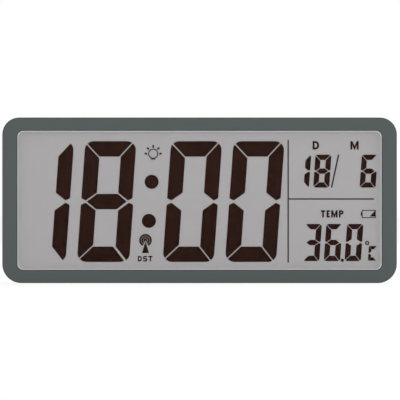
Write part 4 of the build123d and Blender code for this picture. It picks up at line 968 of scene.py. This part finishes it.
class CLOCK_OT_cells(Operator):
    """Two plain battery cells with sleeves and bare metal ends"""

    bl_idname = "clock.cells"
    bl_label = "Battery cells"

    def execute(self, context):
        points = [v.co for v in frame["nodes"]["battery_cells"].data.vertices]
        middle = box_middle("battery_cells")
        jackets = []
        bands = []
        ends = []
        for up in (False, True):
            cell = [p for p in points if (p.z > middle.z) == up]
            left = min(p.x for p in cell)
            right = max(p.x for p in cell)
            low = min(p.z for p in cell)
            high = max(p.z for p in cell)
            turn = Matrix.Identity(4) if up else Matrix.Rotation(math.pi, 4, "Z")
            start = left if up else right
            move = Matrix.Translation((start, middle.y, (low + high) / 2)) @ turn
            profiles = cell_profiles(right - left, (high - low) / 2)
            for profile, target in zip(profiles, (jackets, bands, ends, ends)):
                mesh = turned(profile)
                mesh.transform(move)
                target.append(mesh)
        dark = finish_material("cell_jacket", Finish((0.03, 0.045, 0.07), 0.3, grain=3 * MM, tint=0.08))
        warm = finish_material("cell_band", Finish((0.55, 0.25, 0.09), 0.3, 0.6, 1.5 * MM, 0.08))
        steel = bpy.data.materials["inside_contact_steel"]
        paint("battery_cells", dark)
        jacket_mesh = merged("cell_jackets", jackets)
        new_piece("cell_jackets", jacket_mesh, dark, "case", ["battery_cells"])
        new_piece("cell_bands", merged("cell_bands", bands), warm, "case")
        new_piece("cell_ends", merged("cell_ends", ends), steel, "case")
        return {"FINISHED"}


class CLOCK_OT_winding(Operator):
    """Wire turns of the antenna coil"""

    bl_idname = "clock.winding"
    bl_label = "Antenna winding"

    def execute(self, context):
        low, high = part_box("antenna_coil")
        rod_low, rod_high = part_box("antenna_rod")
        outer = (high.y - low.y) / 2
        inner = (rod_high.y - rod_low.y) / 2
        clearance = 0.02 * MM
        pitch_share = 1.025
        wire = (outer - inner) / 2 - clearance
        length = high.x - low.x - 2 * wire
        turns = math.floor(length / (2 * wire * pitch_share))
        values = {"Turns": turns, "Radius": outer - wire, "Length": length, "Wire": wire}
        copper = bpy.data.materials["inside_copper"]
        mesh = grown_mesh(winding_tree(copper), values)
        start = Vector((low.x + wire, (low.y + high.y) / 2, (low.z + high.z) / 2))
        mesh.transform(Matrix.Translation(start) @ LENGTHWISE)
        new_piece("antenna_turns", mesh, copper, "case", ["antenna_coil"])
        return {"FINISHED"}


def cell_diagram(side, film):
    """Flat meshes of a cell's outline, pole, plus and minus, with the pole on one side."""
    line = 0.4 * MM
    half = 20.0 * MM
    body = 5.6 * MM
    pole_half = 1.0 * MM
    pole_height = 2.0 * MM
    sign_inset = 5.0 * MM
    sign_half = 1.8 * MM
    sign_line = 0.35 * MM
    outer = box_points(-half, half, -body, body)
    inner = box_points(line - half, half - line, line - body, body - line)
    pole_x = side * (half + pole_half)
    pole = box_points(pole_x - pole_half, pole_x + pole_half, -pole_height, pole_height)
    bar = box_points(-sign_half, sign_half, -sign_line, sign_line)
    plus_x = side * (half - sign_inset)
    plus = [(x + plus_x, y) for x, y in bar]
    post = [(y + plus_x, x) for x, y in bar]
    minus = [(x - plus_x, y) for x, y in bar]
    return [plate(outer, film, inner)] + [plate(flat, film) for flat in (pole, plus, post[::-1], minus)]


class CLOCK_OT_legends(Operator):
    """Printed words over the buttons and the diagram inside the battery door"""

    bl_idname = "clock.legends"
    bl_label = "Back legends"

    def execute(self, context):
        look = context.scene.clock_case
        white = Finish(tuple(look.legend_colour), 0.6, grain=0.2 * MM, tint=0.05, specular=0.2)
        print_paint = finish_material("legend_paint", white)
        film = 0.04 * MM
        pen = 0.012
        pocket_depth = 1.5 * MM
        legend_rise = 5.9 * MM
        door_wall = 2.0 * MM
        pocket_y = CAD_BOX[1].y - pocket_depth
        meshes = []
        for name, text in BUTTON_LEGENDS.items():
            middle = box_middle("button_" + name)
            place = (middle.x, pocket_y, middle.z + legend_rise)
            meshes.append(placed(word(text, look.legend_height, film, pen), READ_FROM_BACK, place))
        new_piece("button_legends", merged("button_legends", meshes), print_paint, "case")
        inner_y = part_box("battery_door")[1].y - door_wall
        low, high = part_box("battery_cells")
        middle = box_middle("battery_cells")
        pitch = (high.z - low.z) / 4
        diagram = []
        for side in (-1, 1):
            place = (middle.x, inner_y, middle.z + side * pitch)
            diagram += [placed(flat, READ_FROM_FRONT, place) for flat in cell_diagram(side, film)]
        new_piece("door_diagram", merged("door_diagram", diagram), print_paint, "battery_door")
        return {"FINISHED"}


def soft_lamp(name, power, place, size, target):
    """Rectangular lamp that faces a point."""
    data = bpy.data.lights.new(name, "AREA")
    data.energy = power
    data.shape = "RECTANGLE"
    data.size, data.size_y = size
    lamp = bpy.data.objects.new(name, data)
    bpy.context.scene.collection.objects.link(lamp)
    lamp.location = place
    lamp.rotation_euler = (Vector(target) - Vector(place)).to_track_quat("-Z", "Y").to_euler()


class CLOCK_OT_stage(Operator):
    """Pale floor, soft light and the camera square on to the display"""

    bl_idname = "clock.stage"
    bl_label = "Stage"

    def execute(self, context):
        scene = context.scene
        stage = scene.clock_stage
        scene.view_settings.view_transform = "Standard"
        # Light crosses the clear layers on its way in and again on its way out
        scene.cycles.transparent_max_bounces = 32
        self.make_floor(stage.floor_size)
        self.make_room(scene, stage.room_light)
        low, high = CAD_BOX
        middle = (low + high) / 2
        for name, (place, size) in LAMPS.items():
            soft_lamp(name + "_lamp", getattr(stage, name + "_power"), place, size, middle)
        pixel = (high.x - low.x) / (PHOTO_CASE_RIGHT - PHOTO_CASE_LEFT)
        across = (PHOTO_PIXELS - PHOTO_CASE_LEFT - PHOTO_CASE_RIGHT) / 2 * pixel
        up = (PHOTO_CASE_BASE - PHOTO_PIXELS / 2) * pixel
        data = bpy.data.cameras.new("camera")
        data.sensor_width = SENSOR_WIDTH
        data.lens = data.sensor_width * stage.camera_distance / (PHOTO_PIXELS * pixel)
        data.clip_end = VIEW_DEPTH
        camera = bpy.data.objects.new("camera", data)
        scene.collection.objects.link(camera)
        camera.location = (middle.x + across, low.y - stage.camera_distance, low.z + up)
        camera.rotation_euler = (math.radians(90), 0.0, 0.0)
        scene.camera = camera
        return {"FINISHED"}

    def make_floor(self, size):
        bm = bmesh.new()
        bmesh.ops.create_grid(bm, x_segments=8, y_segments=8, size=size / 2)
        mesh = bpy.data.meshes.new("floor")
        bm.to_mesh(mesh)
        bm.free()
        material = bpy.data.materials.new("pale_floor")
        material.use_nodes = True
        nodes = material.node_tree.nodes
        links = material.node_tree.links
        shader = nodes["Principled BSDF"]
        shader.inputs["Base Color"].default_value = (FLOOR_GREY, FLOOR_GREY, FLOOR_GREY, 1.0)
        shader.inputs["Roughness"].default_value = 0.9
        shader.inputs["Specular IOR Level"].default_value = 0.1
        glow = nodes.new("ShaderNodeEmission")
        glow.inputs["Strength"].default_value = FLOOR_WHITE
        path = nodes.new("ShaderNodeLightPath")
        seen = self.seen_rays(nodes, links, path)
        share = nodes.new("ShaderNodeMath")
        share.operation = "MULTIPLY"
        share.inputs[1].default_value = FLOOR_WHITE_SHARE
        links.new(seen, share.inputs[0])
        mix = nodes.new("ShaderNodeMixShader")
        links.new(share.outputs[0], mix.inputs[0])
        links.new(shader.outputs[0], mix.inputs[1])
        links.new(glow.outputs[0], mix.inputs[2])
        links.new(mix.outputs[0], nodes["Material Output"].inputs["Surface"])
        mesh.materials.append(material)
        floor = bpy.data.objects.new("floor", mesh)
        bpy.context.scene.collection.objects.link(floor)

    def make_room(self, scene, strength):
        world = bpy.data.worlds.new("room")
        scene.world = world
        world.use_nodes = True
        nodes = world.node_tree.nodes
        links = world.node_tree.links
        even = nodes["Background"]
        even.inputs["Color"].default_value = (1.0, 1.0, 1.0, 1.0)
        even.inputs["Strength"].default_value = strength
        white = nodes.new("ShaderNodeBackground")
        white.inputs["Color"].default_value = (1.0, 1.0, 1.0, 1.0)
        white.inputs["Strength"].default_value = 1.0
        path = nodes.new("ShaderNodeLightPath")
        mix = nodes.new("ShaderNodeMixShader")
        links.new(self.seen_rays(nodes, links, path), mix.inputs[0])
        links.new(even.outputs[0], mix.inputs[1])
        links.new(white.outputs[0], mix.inputs[2])
        links.new(mix.outputs[0], nodes["World Output"].inputs["Surface"])

    def seen_rays(self, nodes, links, path):
        """1 for rays that show the surface to the camera, also in gloss and through clear layers."""
        either = path.outputs["Is Camera Ray"]
        for name in ("Is Glossy Ray", "Is Transmission Ray"):
            larger = nodes.new("ShaderNodeMath")
            larger.operation = "MAXIMUM"
            links.new(either, larger.inputs[0])
            links.new(path.outputs[name], larger.inputs[1])
            either = larger.outputs[0]
        return either


STEPS = (
    CLOCK_OT_case,
    CLOCK_OT_display,
    CLOCK_OT_inside,
    CLOCK_OT_words,
    CLOCK_OT_signs,
    CLOCK_OT_painted_pane_highlight,
    CLOCK_OT_cells,
    CLOCK_OT_winding,
    CLOCK_OT_legends,
    CLOCK_OT_stage,
)
SETTINGS = {
    "clock_case": CaseFinish,
    "clock_display": DisplayFinish,
    "clock_signs": SignSizes,
    "clock_stage": StageSettings,
}


class CLOCK_PT_panel(Panel):
    """Lists the steps that dress the clock"""

    bl_idname = "CLOCK_PT_panel"
    bl_label = "Clock"
    bl_space_type = "VIEW_3D"
    bl_region_type = "UI"
    bl_category = "Clock"

    def draw(self, context):
        for name, group in SETTINGS.items():
            box = self.layout.box()
            for label in group.__annotations__:
                box.prop(getattr(context.scene, name), label)
        for step in STEPS:
            self.layout.operator(step.bl_idname)


def register():
    for name, group in SETTINGS.items():
        bpy.utils.register_class(group)
        setattr(bpy.types.Scene, name, PointerProperty(type=group))
    for step in STEPS:
        bpy.utils.register_class(step)
    bpy.utils.register_class(CLOCK_PT_panel)


def unregister():
    bpy.utils.unregister_class(CLOCK_PT_panel)
    for step in reversed(STEPS):
        bpy.utils.unregister_class(step)
    for name, group in reversed(SETTINGS.items()):
        delattr(bpy.types.Scene, name)
        bpy.utils.unregister_class(group)


def main():
    register()
    bpy.ops.clock.case()
    bpy.ops.clock.display()
    bpy.ops.clock.inside()
    bpy.ops.clock.words()
    bpy.ops.clock.signs()
    bpy.ops.clock.pane_edge()
    bpy.ops.clock.cells()
    bpy.ops.clock.winding()
    bpy.ops.clock.legends()
    bpy.ops.clock.stage()


if __name__ == "__main__":
    main()
